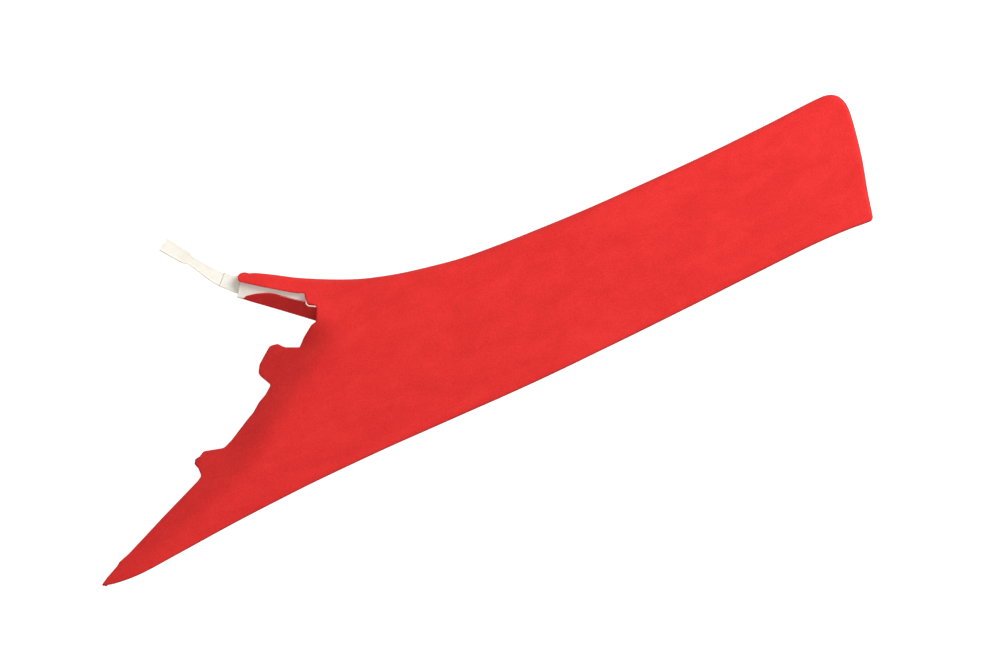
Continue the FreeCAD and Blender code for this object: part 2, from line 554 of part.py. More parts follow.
link = flat_strip(TET, TETHER_T, (-0.70, 0.71), (-0.54, 0.84))
finish(link, "tether_link")
pad = flat_strip(PAD, TETHER_T, (-0.54, 0.84), (-0.54, 0.84))
finish(pad, "tether_paddle")
az = TETHER_TOP
anchor = Part.Face(Part.makePolygon([V(*leg(41.0, -5.6), az - TETHER_T), V(*leg(53.0, -6.2), az - TETHER_T), V(*leg(59.2, -9.2), az - TETHER_T),
                                     V(217.62 + 0.28, 182.30 + 0.9, az - TETHER_T), V(228.0, 193.0, az - TETHER_T), V(*leg(56.6, 4.6), az - TETHER_T),
                                     V(*leg(53.0, 1.6), az - TETHER_T), V(*leg(41.0, 1.4), az - TETHER_T), V(*leg(41.0, -5.6), az - TETHER_T)])).extrude(V(0, 0, TETHER_T))
RX, RY = leg(46.5, -2.2)
anchor = anchor.cut(cyl(RX, RY, az - 5, az + 5, 1.6))
finish(anchor, "tether_anchor")
rivet = cyl(RX, RY, az - TETHER_T - 0.05, az + 0.5 + 1.3, 1.5)
rhead = cyl(RX, RY, az - TETHER_T - 1.6, az - TETHER_T - 0.05, 3.2)
rhead = rhead.makeFillet(1.0, [e for e in rhead.Edges if abs(e.BoundBox.ZMax - (az - TETHER_T - 1.6)) < 1e-3 and e.BoundBox.ZMax - e.BoundBox.ZMin < 1e-3])
finish(rivet.fuse(rhead).removeSplitter(), "tether_rivet")
rivet_hole = cyl(RX, RY, az - 3, az + 0.5 + 1.45, 1.6)

# --- carrier and cloth --------------------------------------------------------
end_cut = Part.Face(round_poly([(14, -40, 0), (94, -40, 0), (94, 15.5, 6), (14, 13.0, 6)], 0)).copy()
m = FreeCAD.Matrix()
m.A11, m.A12, m.A13 = 0, 0, 1
m.A21, m.A22, m.A23 = 1, 0, 0
m.A31, m.A32, m.A33 = 0, 1, 0
end_cut = end_cut.transformGeometry(m)
end_cut.translate(V(745, 0, 0))
end_open = end_cut.extrude(V(50, 0, 0))

posts = []
for (x, y, zu) in STAKES:
    head = cyl(x, y, zu - 1.5, zu - 0.25, 2.4).fuse(Part.makeCone(1.5, 2.4, 0.7, V(x, y, zu - 2.2)))
    posts.append(head.fuse(cyl(x, y, zu - 1.0, z_face(x, y) - 1.2, 1.2)).removeSplitter())

inner = block(-T_WALL, T_CLOTH + GLUE + T_WALL, 60, R_EDGE - T_WALL)
print("inner", inner.isValid(), flush=True)
carrier = block(0.0, T_CLOTH + GLUE, 45, R_EDGE).cut(inner)
print("carrier", carrier.isValid(), len(carrier.Solids), flush=True)
carrier = carrier.cut([left_void(T_CLOTH + GLUE), rim_cut(GLUE + T_CLOTH), end_open, tip_relief])
print("carrier cut", carrier.isValid(), len(carrier.Solids), flush=True)
carrier = carrier.fuse([web] + posts)
print("carrier fused", carrier.isValid(), len(carrier.Solids), flush=True)
carrier = carrier.cut(rivet_hole)
finish(carrier, "carrier_shell")

cover = block(T_CLOTH + GLUE, 0.0, 45, R_EDGE + 0.6)
core = block(GLUE, T_CLOTH, 60, R_EDGE + GLUE).cut(rim_cut(T_CLOTH))
print("cover", cover.isValid(), core.isValid(), flush=True)
cover = cover.cut(core)
print("cover 1", cover.isValid(), len(cover.Solids), flush=True)
cover = cover.cut(inner)
print("cover 1b", cover.isValid(), len(cover.Solids), flush=True)
cover = cover.cut([left_void(0.0), rim_cut(0.0), end_open, tip_relief])
print("cover 2", cover.isValid(), len(cover.Solids), flush=True)
finish(cover, "suede_cover")

# --- felt feet under the rim ----------------------------------------------------
pads = {"felt_pad_tip": [(26, -3.4), (62, -3.1), (62, 0.0), (26, -0.2)],
        "felt_pad_end_low": [(708, -3.4), (742, -6.2), (742, -3.2), (708, -0.4)],
        "felt_pad_end_high": [(710, 109.0), (744, 110.0), (744, 106.9), (710, 105.9)],
        "felt_pad_leg": [leg(14.0, 11.6), leg(42.0, 9.6), leg(42.0, 6.9), leg(14.0, 8.9)]}
for name, pts in pads.items():
    w = Part.makePolygon([V(x, y, 0) for x, y in pts] + [V(pts[0][0], pts[0][1], 0)])
    s = Part.Face(w).extrude(V(0, 0, FELT - 0.02))
    finish(s, name)
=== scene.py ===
import math
import bpy
import bmesh
import numpy as np
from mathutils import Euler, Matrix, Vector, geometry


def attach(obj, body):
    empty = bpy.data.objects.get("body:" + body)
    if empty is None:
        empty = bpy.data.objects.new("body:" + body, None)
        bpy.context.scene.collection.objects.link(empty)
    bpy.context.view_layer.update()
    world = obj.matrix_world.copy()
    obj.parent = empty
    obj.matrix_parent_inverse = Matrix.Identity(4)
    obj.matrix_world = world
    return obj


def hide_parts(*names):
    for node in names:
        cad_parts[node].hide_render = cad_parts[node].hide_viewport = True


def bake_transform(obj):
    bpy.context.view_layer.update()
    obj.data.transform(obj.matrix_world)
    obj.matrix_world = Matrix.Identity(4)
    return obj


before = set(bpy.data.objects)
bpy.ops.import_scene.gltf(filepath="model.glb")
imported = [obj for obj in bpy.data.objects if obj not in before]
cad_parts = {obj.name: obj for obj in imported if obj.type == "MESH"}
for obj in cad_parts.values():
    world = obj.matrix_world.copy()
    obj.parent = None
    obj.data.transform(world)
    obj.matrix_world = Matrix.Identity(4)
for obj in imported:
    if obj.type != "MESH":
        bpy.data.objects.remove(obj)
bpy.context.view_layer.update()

# ---------------------------------------------------------------- frame shift
DX, DY = -386.278, -122.671          # construction millimetres to the row frame
T_CLOTH, GLUE, T_WALL, FELT = 1.0, 0.05, 2.5, 1.5
RIM_END, RIM_MID = 2.55, 9.0
TETHER_TOP = 9.290763


def M(x, y, z):
    """Construction millimetres to row-frame metres."""
    return ((x + DX) / 1000.0, (y + DY) / 1000.0, z / 1000.0)


# ---------------------------------------------------------------- camera, light, floor
cam_data = bpy.data.cameras.new("camera")
cam_data.sensor_width = 36.0
cam_data.lens = 102.3
cam = bpy.data.objects.new("camera", cam_data)
bpy.context.scene.collection.objects.link(cam)
cx, cy, _ = M(412.8, 47.4, 0)
cam.location = (cx, cy, 2.522)
cam.rotation_euler = Euler((0.0, 0.0, math.radians(-26.0)))
cam_data.dof.use_dof = False
cam_data.clip_end = 50.0
bpy.context.scene.camera = cam

R26 = math.radians(-26.0)


def img(dx, dy):
    """A direction in the picture (right, up) as a direction in the row frame."""
    return Vector((dx * math.cos(R26) - dy * math.sin(R26), dx * math.sin(R26) + dy * math.cos(R26), 0.0))


def area_light(name, direction, height, dist, size, power, colour=(1, 1, 1)):
    d = bpy.data.lights.new(name, "AREA")
    d.shape = "RECTANGLE"
    d.size, d.size_y = size
    d.energy = power
    d.color = colour
    o = bpy.data.objects.new(name, d)
    bpy.context.scene.collection.objects.link(o)
    p = direction * dist + Vector((0, 0, height))
    o.location = p
    o.rotation_euler = (Vector((0, 0, 0.02)) - p).to_track_quat("-Z", "Y").to_euler()
    return o


area_light("key", img(0.79, 0.61), 2.05, 3.10, (2.4, 2.0), 170.0, (1.0, 0.99, 0.975))
area_light("fill", img(-0.2, -0.95), 1.9, 1.6, (1.8, 1.8), 15.0, (0.99, 0.99, 1.0))
area_light("top", img(0.25, 0.35), 2.3, 0.5, (1.8, 1.8), 5.0)
world = bpy.data.worlds.new("studio")
bpy.context.scene.world = world
world.use_nodes = True
world.node_tree.nodes["Background"].inputs[0].default_value = (1.0, 0.995, 0.99, 1.0)
world.node_tree.nodes["Background"].inputs[1].default_value = 0.26
bpy.context.scene.view_settings.view_transform = "Standard"

# ---------------------------------------------------------------- materials


def mat_new(name):
    m = bpy.data.materials.new(name)
    m.use_nodes = True
    nt = m.node_tree
    b = nt.nodes["Principled BSDF"]
    return m, nt, b


def node(nt, kind, **kw):
    n = nt.nodes.new(kind)
    for k, v in kw.items():
        setattr(n, k, v)
    return n


def coords(nt, scale=(1, 1, 1), rot=(0, 0, 0)):
    tc = node(nt, "ShaderNodeTexCoord")
    mp = node(nt, "ShaderNodeMapping")
    mp.inputs["Scale"].default_value = scale
    mp.inputs["Rotation"].default_value = rot
    nt.links.new(tc.outputs["Object"], mp.inputs["Vector"])
    return mp.outputs["Vector"]


def noise(nt, vec, scale, detail=2.0, rough=0.5, distortion=0.0):
    n = node(nt, "ShaderNodeTexNoise")
    n.inputs["Scale"].default_value = scale
    n.inputs["Detail"].default_value = detail
    n.inputs["Roughness"].default_value = rough
    n.inputs["Distortion"].default_value = distortion
    nt.links.new(vec, n.inputs["Vector"])
    return n.outputs["Fac"]


def voronoi(nt, vec, scale, feature="F1", randomness=1.0):
    n = node(nt, "ShaderNodeTexVoronoi", feature=feature)
    n.inputs["Scale"].default_value = scale
    n.inputs["Randomness"].default_value = randomness
    nt.links.new(vec, n.inputs["Vector"])
    return n.outputs["Distance"]


def ramp(nt, fac, stops):
    n = node(nt, "ShaderNodeValToRGB")
    while len(n.color_ramp.elements) < len(stops):
        n.color_ramp.elements.new(0.5)
    for e, (p, c) in zip(n.color_ramp.elements, stops):
        e.position = p
        e.color = (*c, 1.0) if len(c) == 3 else c
    nt.links.new(fac, n.inputs["Fac"])
    return n.outputs["Color"]


def mixc(nt, a, b, fac, mode="MIX"):
    n = node(nt, "ShaderNodeMix", data_type="RGBA", blend_type=mode)
    for sock, val in ((n.inputs["Factor"], fac), (n.inputs[6], a), (n.inputs[7], b)):
        if isinstance(val, bpy.types.NodeSocket):
            nt.links.new(val, sock)
        elif isinstance(val, (int, float)):
            sock.default_value = val
        else:
            sock.default_value = (*val, 1.0)
    return n.outputs[2]


def mathn(nt, op, a, b=0.0, clamp=False):
    n = node(nt, "ShaderNodeMath", operation=op, use_clamp=clamp)
    for sock, val in ((n.inputs[0], a), (n.inputs[1], b)):
        if isinstance(val, bpy.types.NodeSocket):
            nt.links.new(val, sock)
        else:
            sock.default_value = val
    return n.outputs[0]


def maprange(nt, v, a, b, c, d):
    n = node(nt, "ShaderNodeMapRange")
    nt.links.new(v, n.inputs["Value"])
    n.inputs["From Min"].default_value = a
    n.inputs["From Max"].default_value = b
    n.inputs["To Min"].default_value = c
    n.inputs["To Max"].default_value = d
    return n.outputs["Result"]


def bump(nt, b, layers):
    """layers: (height socket, distance in metres, strength)"""
    prev = None
    for h, dist, strength in layers:
        n = node(nt, "ShaderNodeBump")
        n.inputs["Distance"].default_value = dist
        n.inputs["Strength"].default_value = strength
        nt.links.new(h, n.inputs["Height"])
        if prev is not None:
            nt.links.new(prev, n.inputs["Normal"])
        prev = n.outputs["Normal"]
    nt.links.new(prev, b.inputs["Normal"])


def suede(name, deep, mid, bright, sheen=0.42, sheen_tint=(1.0, 0.62, 0.55)):
    m, nt, b = mat_new(name)
    v = coords(nt)
    brushed = coords(nt, (0.55, 1.25, 1.0), (0, 0, math.radians(24)))
    blotch = noise(nt, brushed, 40.0, 4.0, 0.6, 0.7)
    patch = noise(nt, v, 75.0, 2.0, 0.5, 0.3)
    nap = mathn(nt, "ADD", mathn(nt, "MULTIPLY", blotch, 0.7), mathn(nt, "MULTIPLY", patch, 0.3))
    base = ramp(nt, nap, [(0.32, deep), (0.50, mid), (0.68, bright)])
    grain = noise(nt, v, 620.0, 3.0, 0.65)
    fibre = noise(nt, coords(nt, (1.0, 2.4, 1.0), (0, 0, math.radians(35))), 1500.0, 2.0, 0.6)
    g = mathn(nt, "ADD", mathn(nt, "MULTIPLY", grain, 0.6), mathn(nt, "MULTIPLY", fibre, 0.4))
    tone = maprange(nt, g, 0.30, 0.70, 0.86, 1.13)
    comb = node(nt, "ShaderNodeCombineColor")
    for i in range(3):
        nt.links.new(tone, comb.inputs[i])
    col = mixc(nt, base, comb.outputs[0], 1.0, "MULTIPLY")
    nt.links.new(col, b.inputs["Base Color"])
    nt.links.new(maprange(nt, g, 0.3, 0.7, 0.96, 0.82), b.inputs["Roughness"])
    b.inputs["Specular IOR Level"].default_value = 0.18
    b.inputs["Sheen Weight"].default_value = sheen
    b.inputs["Sheen Roughness"].default_value = 0.38
    b.inputs["Sheen Tint"].default_value = (*sheen_tint, 1.0)
    bump(nt, b, [(blotch, 0.0013, 0.07), (grain, 0.00026, 0.75), (fibre, 0.00014, 0.8)])
    return m


def plastic(name, colour, dark, rough=0.5, grain_scale=900.0, grain_depth=0.00008, spec=0.45, mottling=0.25, coat=0.0):
    m, nt, b = mat_new(name)
    v = coords(nt)
    big = noise(nt, v, 22.0, 3.0, 0.5)
    fine = noise(nt, v, 240.0, 3.0, 0.6)
    f = mathn(nt, "ADD", mathn(nt, "MULTIPLY", big, 0.6), mathn(nt, "MULTIPLY", fine, 0.4))
    col = ramp(nt, f, [(0.5 - mottling, dark), (0.5 + mottling * 0.6, colour)])
    nt.links.new(col, b.inputs["Base Color"])
    cell = voronoi(nt, v, grain_scale)
    nt.links.new(maprange(nt, fine, 0.3, 0.7, rough - 0.06, rough + 0.08), b.inputs["Roughness"])
    b.inputs["Specular IOR Level"].default_value = spec
    if coat:
        b.inputs["Coat Weight"].default_value = coat
    bump(nt, b, [(cell, grain_depth, 0.5), (fine, 0.00012, 0.25)])
    return m


def felt_mat(name, a, c):
    m, nt, b = mat_new(name)
    v = coords(nt)
    n1 = noise(nt, coords(nt, (1.0, 3.0, 3.0), (0.3, 0.2, 0.6)), 900.0, 3.0, 0.7, 1.2)
    n2 = noise(nt, coords(nt, (3.0, 1.0, 3.0), (0.1, 0.4, 1.9)), 1100.0, 3.0, 0.7, 1.2)
    f = mathn(nt, "MAXIMUM", n1, n2)
    nt.links.new(ramp(nt, f, [(0.42, a), (0.72, c)]), b.inputs["Base Color"])
    b.inputs["Roughness"].default_value = 0.95
    b.inputs["Specular IOR Level"].default_value = 0.15
    b.inputs["Sheen Weight"].default_value = 0.3
    b.inputs["Sheen Roughness"].default_value = 0.5
    bump(nt, b, [(f, 0.0004, 0.8), (noise(nt, v, 300.0, 2.0), 0.0005, 0.4)])
    return m


def foam_mat(name, a, c, scale=1300.0):
    m, nt, b = mat_new(name)
    v = coords(nt)
    cell = voronoi(nt, v, scale)
    cell2 = voronoi(nt, v, scale * 0.45)
    f = mathn(nt, "MULTIPLY", cell, cell2)
    nt.links.new(ramp(nt, f, [(0.02, a), (0.32, c)]), b.inputs["Base Color"])
    b.inputs["Roughness"].default_value = 0.9
    b.inputs["Specular IOR Level"].default_value = 0.25
    bump(nt, b, [(cell, 0.0005, 0.7), (cell2, 0.0006, 0.5)])
    return m


def nylon(name):
    m, nt, b = mat_new(name)
    v = coords(nt)
    # moulded flow lines run along the tether
    streak = noise(nt, coords(nt, (0.5, 6.0, 1.0), (0, 0, math.radians(52))), 160.0, 3.0, 0.6, 0.2)
    cloud = noise(nt, v, 90.0, 3.0, 0.5)
    f = mathn(nt, "ADD", mathn(nt, "MULTIPLY", streak, 0.55), mathn(nt, "MULTIPLY", cloud, 0.45))
    nt.links.new(ramp(nt, f, [(0.33, (0.93, 0.87, 0.74)), (0.52, (0.97, 0.94, 0.85)), (0.70, (0.98, 0.97, 0.92))]), b.inputs["Base Color"])
    nt.links.new(maprange(nt, streak, 0.3, 0.7, 0.30, 0.46), b.inputs["Roughness"])
    b.inputs["Subsurface Weight"].default_value = 0.0
    b.inputs["Subsurface Radius"].default_value = (0.004, 0.0035, 0.0025)
    b.inputs["Subsurface Scale"].default_value = 1.0
    b.inputs["Specular IOR Level"].default_value = 0.5
    bump(nt, b, [(streak, 0.00025, 0.5), (noise(nt, v, 700.0, 2.0), 0.00006, 0.5)])
    return m


SUEDE = suede("suede_red", (0.665, 0.0225, 0.0215), (0.715, 0.0265, 0.0245), (0.760, 0.0315, 0.0285), sheen=0.24, sheen_tint=(1.0, 0.55, 0.50))
# darker, less sheeny copy of the red suede: painted shade for the leg's lower flange, which slopes away from the key
# light
SUEDE_PAINTED_SHADE = suede("suede_red_painted_shade", (0.60, 0.017, 0.017), (0.66, 0.021, 0.020), (0.71, 0.026, 0.024), sheen=0.15)
BEIGE = plastic("carrier_beige", (0.80, 0.72, 0.62), (0.70, 0.61, 0.51), rough=0.55)
# paler copy of the carrier beige: painted light for the leg channel, which lies in the shadow of the cloth strip above
# it
BEIGE_PAINTED_LIGHT = plastic("carrier_beige_painted_light", (0.90, 0.83, 0.75), (0.82, 0.74, 0.65), rough=0.5)
RIB = plastic("rib_natural", (0.55, 0.53, 0.49), (0.46, 0.44, 0.40), rough=0.5, grain_scale=1500.0)
TOWER = plastic("tower_grey", (0.165, 0.165, 0.17), (0.12, 0.12, 0.125), rough=0.5, grain_scale=1200.0)
CLIP = plastic("clip_white", (0.80, 0.79, 0.74), (0.70, 0.68, 0.62), rough=0.36, grain_scale=2500.0, grain_depth=0.00003)
SEAL = foam_mat("seal_foam", (0.012, 0.012, 0.013), (0.05, 0.05, 0.052), 2200.0)
FOAM = foam_mat("foam_grey", (0.03, 0.03, 0.032), (0.16, 0.16, 0.17), 1100.0)
FELTM = felt_mat("felt_black", (0.012, 0.012, 0.014), (0.06, 0.06, 0.065))
NYLON = nylon("nylon_ivory")
BACKING = plastic("cover_backing", (0.86, 0.74, 0.66), (0.78, 0.64, 0.56), rough=0.85, spec=0.2)
RIVET = plastic("rivet_black", (0.02, 0.02, 0.02), (0.012, 0.012, 0.012), rough=0.35)

fl_mat, fl_nt, fl_b = mat_new("floor_white")
fv = coords(fl_nt)
fl_nt.links.new(ramp(fl_nt, noise(fl_nt, fv, 3.0, 2.0), [(0.3, (0.54, 0.54, 0.54)), (0.7, (0.56, 0.56, 0.56))]), fl_b.inputs["Base Color"])
fl_b.inputs["Roughness"].default_value = 0.9
fl_b.inputs["Specular IOR Level"].default_value = 0.1
fl_b.inputs["Emission Color"].default_value = (1.0, 1.0, 1.0, 1.0)
fl_b.inputs["Emission Strength"].default_value = 0.90
bm = bmesh.new()
bmesh.ops.create_grid(bm, x_segments=2, y_segments=2, size=6.0)
me = bpy.data.meshes.new("floor")
bm.to_mesh(me)
bm.free()
floor = bpy.data.objects.new("floor", me)
bpy.context.scene.collection.objects.link(floor)
floor.location = (0, 0, -0.0015)
me.materials.append(fl_mat)
floor.visible_diffuse = False

# ---------------------------------------------------------------- face of the panel, mm
UPPER = [(759.7, 110.3), (747.2, 110.5), (704.4, 109.3), (660.2, 109.1), (600.0, 109.9), (541.1, 111.7),
         (495.0, 114.1), (453.7, 117.1), (414.5, 121.2), (396.5, 124.3), (359.4, 132.6), (337.2, 139.3),
         (319.8, 145.8), (296.0, 157.2), (272.9, 170.1), (257.0, 180.6), (241.3, 190.1), (235.3, 192.5), (229.4, 195.2)]
CREASE = [(-80, -34.0), (52.3, 1.5), (76.7, 9.6), (100.2, 17.0), (123.7, 24.8), (148.1, 33.6), (167.6, 43.0),
          (185.6, 53.4), (203.6, 64.2), (222.4, 74.6), (242.0, 84.6), (260.8, 94.6), (283.5, 103.5), (420, 165.0)]
BAND = [(-80, 48.0), (285, 48.0), (314, 40.0), (343, 29.5), (390, 24.0), (438, 19.0), (487, 13.5), (541, 6.0), (600, 3.0), (900, 3.0)]
TOP_LINE = [(140.0, 235.0)] + sorted(UPPER) + [(860.0, 111.5)]


def table(tab, x, w):
    """Smoothed straight-line interpolation of a table, for arrays."""
    xs, ys = np.array([p[0] for p in tab], float), np.array([p[1] for p in tab], float)
    out = 0
    ks = np.linspace(-1, 1, 9)
    ws = (1 - np.abs(ks) * 0.92)
    ws /= ws.sum()
    for k, c in zip(ks, ws):
        out = out + c * np.interp(x + k * w, xs, ys)
    return out


def softplus(d, w):
    return np.where(d > 30 * w, d, w * np.log1p(np.exp(np.clip(d / w, -60, 30))))


def sstep(a, b, x):
    t = np.clip((x - a) / (b - a), 0, 1)
    return t * t * (3 - 2 * t)


def z_face(x, y):
    x, y = np.asarray(x, float), np.asarray(y, float)
    s = (x - 388.0) / 388.0
    z = 17.0 + 9.0 * (1 - s * s) + 0.085 * y + 2.5 * (1 - ((y - 50.0) / 58.0) ** 2)
    d = (y - table(CREASE, x, 17.0)) * 0.89
    dk = 0.684 * (x - 270.7) + 0.729 * (y - 129.4)
    z = z - 0.62 * (1 - sstep(-28.0, 8.0, dk)) * softplus(d, 3.4)   # the cloth bridges the hollow at the root of the leg
    g = (table(TOP_LINE, x + 3, 12.0) - table(TOP_LINE, x - 3, 12.0)) / 6.0
    e = (table(TOP_LINE, x, 12.0) - y) / np.sqrt(1 + g * g)
    z = z - 0.30 * softplus(table(BAND, x, 17.0) - e, 5.0)
    z = z - 2.2 * np.exp(-((x - 760.0) ** 2 + (y + 8.0) ** 2) / 900.0)
    return z


def z_off(x, y, t):
    h = 1.0
    gx = (z_face(x + h, y) - z_face(x - h, y)) / 2
    gy = (z_face(x, y + h) - z_face(x, y - h)) / 2
    return z_face(x, y) + t * np.sqrt(1 + gx * gx + gy * gy)


def z_top(x, y):
    return z_off(x, y, T_CLOTH + GLUE)


def rim(x, y):
    """Height of the cloth's lowest line on the walls."""
    x, y = np.asarray(x, float), np.asarray(y, float)
    low = FELT + (RIM_MID - RIM_END) * np.clip(1 - ((x - 385.0) / 315.0) ** 2, 0, None)
    high = FELT + (RIM_MID - RIM_END) * np.clip(1 - ((x - 509.0) / 191.0) ** 2, 0, None)
    return np.where(y < 62, low, high)


# ---------------------------------------------------------------- outline of the wrapped panel
LOWER = [(-1.0, 0.3), (9.6, -2.4), (25.2, -4.3), (37.8, -4.8), (75.0, -3.2), (119.9, -1.0),
         (165.0, 0.4), (213.9, 1.0), (280.0, 0.0), (350.0, -2.6), (423.5, -5.0), (495.0, -5.4),
         (564.3, -5.2), (630.0, -4.4), (697.2, -3.9), (727.9, -5.2), (748.0, -7.4)]
CORNER = [(751.2, -7.6), (753.3, -6.0)]
END = [(754.4, -3.0), (759.0, 17.6), (767.7, 49.5), (774.0, 81.5), (775.0, 92.6), (773.9, 99.3), (770.8, 105.0), (765.6, 108.7), (759.7, 110.3)]
LEFT = [(229.4, 195.3, 0.4), (227.4, 194.6, 0.6), (225.5, 190.4, 0.6), (226.2, 188.7, 0.4), (240.6, 177.0, 30), (256.7, 164.9, 30), (262.5, 160.6, 6), (268.2, 156.9, 6), (273.4, 154.5, 1.3),
        (271.5, 145.3, 1.2), (278.5, 139.6, 0.8), (272.1, 127.2, 3), (266.9, 126.4, 3), (256.1, 119.8, 8),
        (248.7, 113.4, 0.8), (236.5, 119.4, 6), (231.6, 125.2, 3), (224.4, 126.6, 4), (209.2, 115.8, 5), (205.0, 109.2, 4),
        (205.8, 105.5, 2), (211.2, 94.8, 2), (203.2, 89.2, 6), (195.0, 85.6, 14), (187.0, 79.9, 12), (179.1, 76.4, 20), (158.7, 66.3, 20), (149.4, 63.0, 8),
        (131.2, 68.5, 3), (119.6, 62.6, 1.2), (120.6, 57.6, 2), (120.6, 49.6, 3), (116.0, 47.0, 8), (74.0, 31.8, 30), (32.2, 15.8, 20),
        (21.6, 12.9, 0.8), (18.3, 10.5, 0.8), (6.0, 5.4, 6), (-1.2, 1.7, 0.5)]


def spline(points, step):
    """Points along a centripetal curve through the given points."""
    p = np.array(points, float)
    p = np.vstack([2 * p[0] - p[1], p, 2 * p[-1] - p[-2]])
    out = []
    for i in range(1, len(p) - 2):
        a, b, c, d = p[i - 1], p[i], p[i + 1], p[i + 2]
        t0 = 0
        t1 = t0 + np.linalg.norm(b - a) ** 0.5
        t2 = t1 + np.linalg.norm(c - b) ** 0.5
        t3 = t2 + np.linalg.norm(d - c) ** 0.5
        n = max(2, int(np.linalg.norm(c - b) / step + 0.5))
        for t in np.linspace(t1, t2, n, endpoint=False):
            a1 = (t1 - t) / (t1 - t0) * a + (t - t0) / (t1 - t0) * b
            a2 = (t2 - t) / (t2 - t1) * b + (t - t1) / (t2 - t1) * c
            a3 = (t3 - t) / (t3 - t2) * c + (t - t2) / (t3 - t2) * d
            b1 = (t2 - t) / (t2 - t0) * a1 + (t - t0) / (t2 - t0) * a2
            b2 = (t3 - t) / (t3 - t1) * a2 + (t - t1) / (t3 - t1) * a3
            out.append((t2 - t) / (t2 - t1) * b1 + (t - t1) / (t2 - t1) * b2)
    out.append(p[-2])
    return out


def rounded(points, step):
    """Points along straight runs whose corners are rounded."""
    out = []
    n = len(points)
    for i in range(n):
        x, y, r = points[i]
        b = np.array([x, y], float)
        if i == 0 or i == n - 1:
            out.append(b)
            continue
        a, c = np.array(points[i - 1][:2], float), np.array(points[i + 1][:2], float)
        u, w = a - b, c - b
        lu, lw = np.linalg.norm(u), np.linalg.norm(w)
        u, w = u / lu, w / lw
        half = math.acos(max(-1, min(1, float(u @ w)))) / 2
        if half > 1.55:
            out.append(b)
            continue
        tl = min(r / math.tan(half), 0.45 * lu, 0.45 * lw)
        p, q = b + u * tl, b + w * tl
        k = max(2, int(tl * 2 / step * 1.3) + 1)
        for t in np.linspace(0, 1, k + 1):
            out.append((1 - t) ** 2 * p + 2 * t * (1 - t) * b + t * t * q)
    return out


def resample(pts, spacing):
    """Even points along a closed polyline; spacing is a function of the place."""
    pts = np.array(pts, float)
    loop = np.vstack([pts, pts[:1]])
    seg = np.linalg.norm(np.diff(loop, axis=0), axis=1)
    s = np.concatenate([[0], np.cumsum(seg)])
    fine = np.linspace(0, s[-1], int(s[-1] / 0.2), endpoint=False)
    fx, fy = np.interp(fine, s, loop[:, 0]), np.interp(fine, s, loop[:, 1])
    want = spacing(fx, fy)
    cum = np.concatenate([[0], np.cumsum(0.2 / want)])
    n = int(round(cum[-1]))
    at = np.interp(np.linspace(0, cum[-1], n, endpoint=False), cum, np.concatenate([fine, [s[-1]]]))
    return np.stack([np.interp(at, s, loop[:, 0]), np.interp(at, s, loop[:, 1])], 1)


raw = spline(LOWER, 1.0) + [np.array(p) for p in CORNER] + spline(END, 1.0) + spline(UPPER, 1.0)[1:-1] + rounded(LEFT, 0.5)[0:]
kind_len = len(spline(LOWER, 1.0)) + len(CORNER) + len(spline(END, 1.0)) + len(spline(UPPER, 1.0)[1:-1])
OUT = resample(raw, lambda x, y: np.where((x < 290) & (y > 0.0 + 0.0 * x) & (y > 4 + 0.0 * x), 1.1, 1.9))
N = len(OUT)


def normals(p):
    t = np.roll(p, -1, 0) - np.roll(p, 1, 0)
    t /= np.linalg.norm(t, axis=1)[:, None] + 1e-9
    return np.stack([-t[:, 1], t[:, 0]], 1)


def smooth(a, k):
    for _ in range(k):
        a = 0.25 * np.roll(a, 1, 0) + 0.5 * a + 0.25 * np.roll(a, -1, 0)
    return a


def near_line(p, line):
    """Distance from each point to a polyline."""
    best = np.full(len(p), 1e9)
    line = np.array(line, float)
    for a, b in zip(line[:-1], line[1:]):
        d = b - a
        t = np.clip(((p - a) @ d) / (d @ d), 0, 1)
        best = np.minimum(best, np.linalg.norm(p - (a + t[:, None] * d), axis=1))
    return best


d_low = near_line(OUT, spline(LOWER, 2.0) + [np.array(p) for p in CORNER])
d_end = near_line(OUT, spline(END, 2.0))
d_up = near_line(OUT, spline(UPPER, 2.0))
d_left = near_line(OUT, rounded(LEFT, 0.5))
is_open = ((d_left < 0.3) & (d_up > 1.2) & (d_low > 1.2)).astype(float)
W_OPEN = np.clip(smooth(is_open, 3), 0, 1)
# edge radius: crisp along the lower edge, softer at the roof end and along the windscreen edge
r0 = np.where(d_low < 0.4, 2.6, np.where(d_end < 0.4, 4.4, 5.6))
r0 = np.where((OUT[:, 0] < 330) & (d_up < 0.4), np.clip(3.2 + (OUT[:, 0] - 250) * 0.03, 2.6, 5.6), r0)
RAD = smooth(np.where(is_open > 0.5, 1.45, r0), 8)
RAD = np.where((OUT[:, 0] < 232) & (OUT[:, 1] > 184), 1.0, RAD)


def march(p, total, steps, k=1, keep=1.0):
    """Moves a closed ring inwards by per-point amounts without letting it cross itself."""
    rings = []
    for i in range(steps):
        nrm = normals(smooth(p, 1))
        nrm = smooth(nrm, k)
        nrm /= np.linalg.norm(nrm, axis=1)[:, None] + 1e-9
        p = p + nrm * (total / steps)[:, None]
        p = p * (1 - 0.35 * keep) + smooth(p, 1) * 0.35 * keep
        rings.append(p)
    return p, rings


def zmat(p, f):
    return f(p[:, 0], p[:, 1])


# rings of the rolled edge, from the side of the wall to the face
KR = 6
phis = [math.pi / 2 * (i + 1) / KR for i in range(KR)]
top_rings = []
p = OUT.copy()
prev = 0.0
zt_edge = zmat(OUT, z_top)
for ph in phis:
    o = 1 - math.cos(ph)
    p, _ = march(p, RAD * (o - prev), 2 if o - prev > 0.12 else 1, 1)
    prev = o
    z = zmat(p, z_top) - RAD * (1 - math.sin(ph))
    top_rings.append(np.column_stack([p, z]))
inner_ring = top_rings[-1]

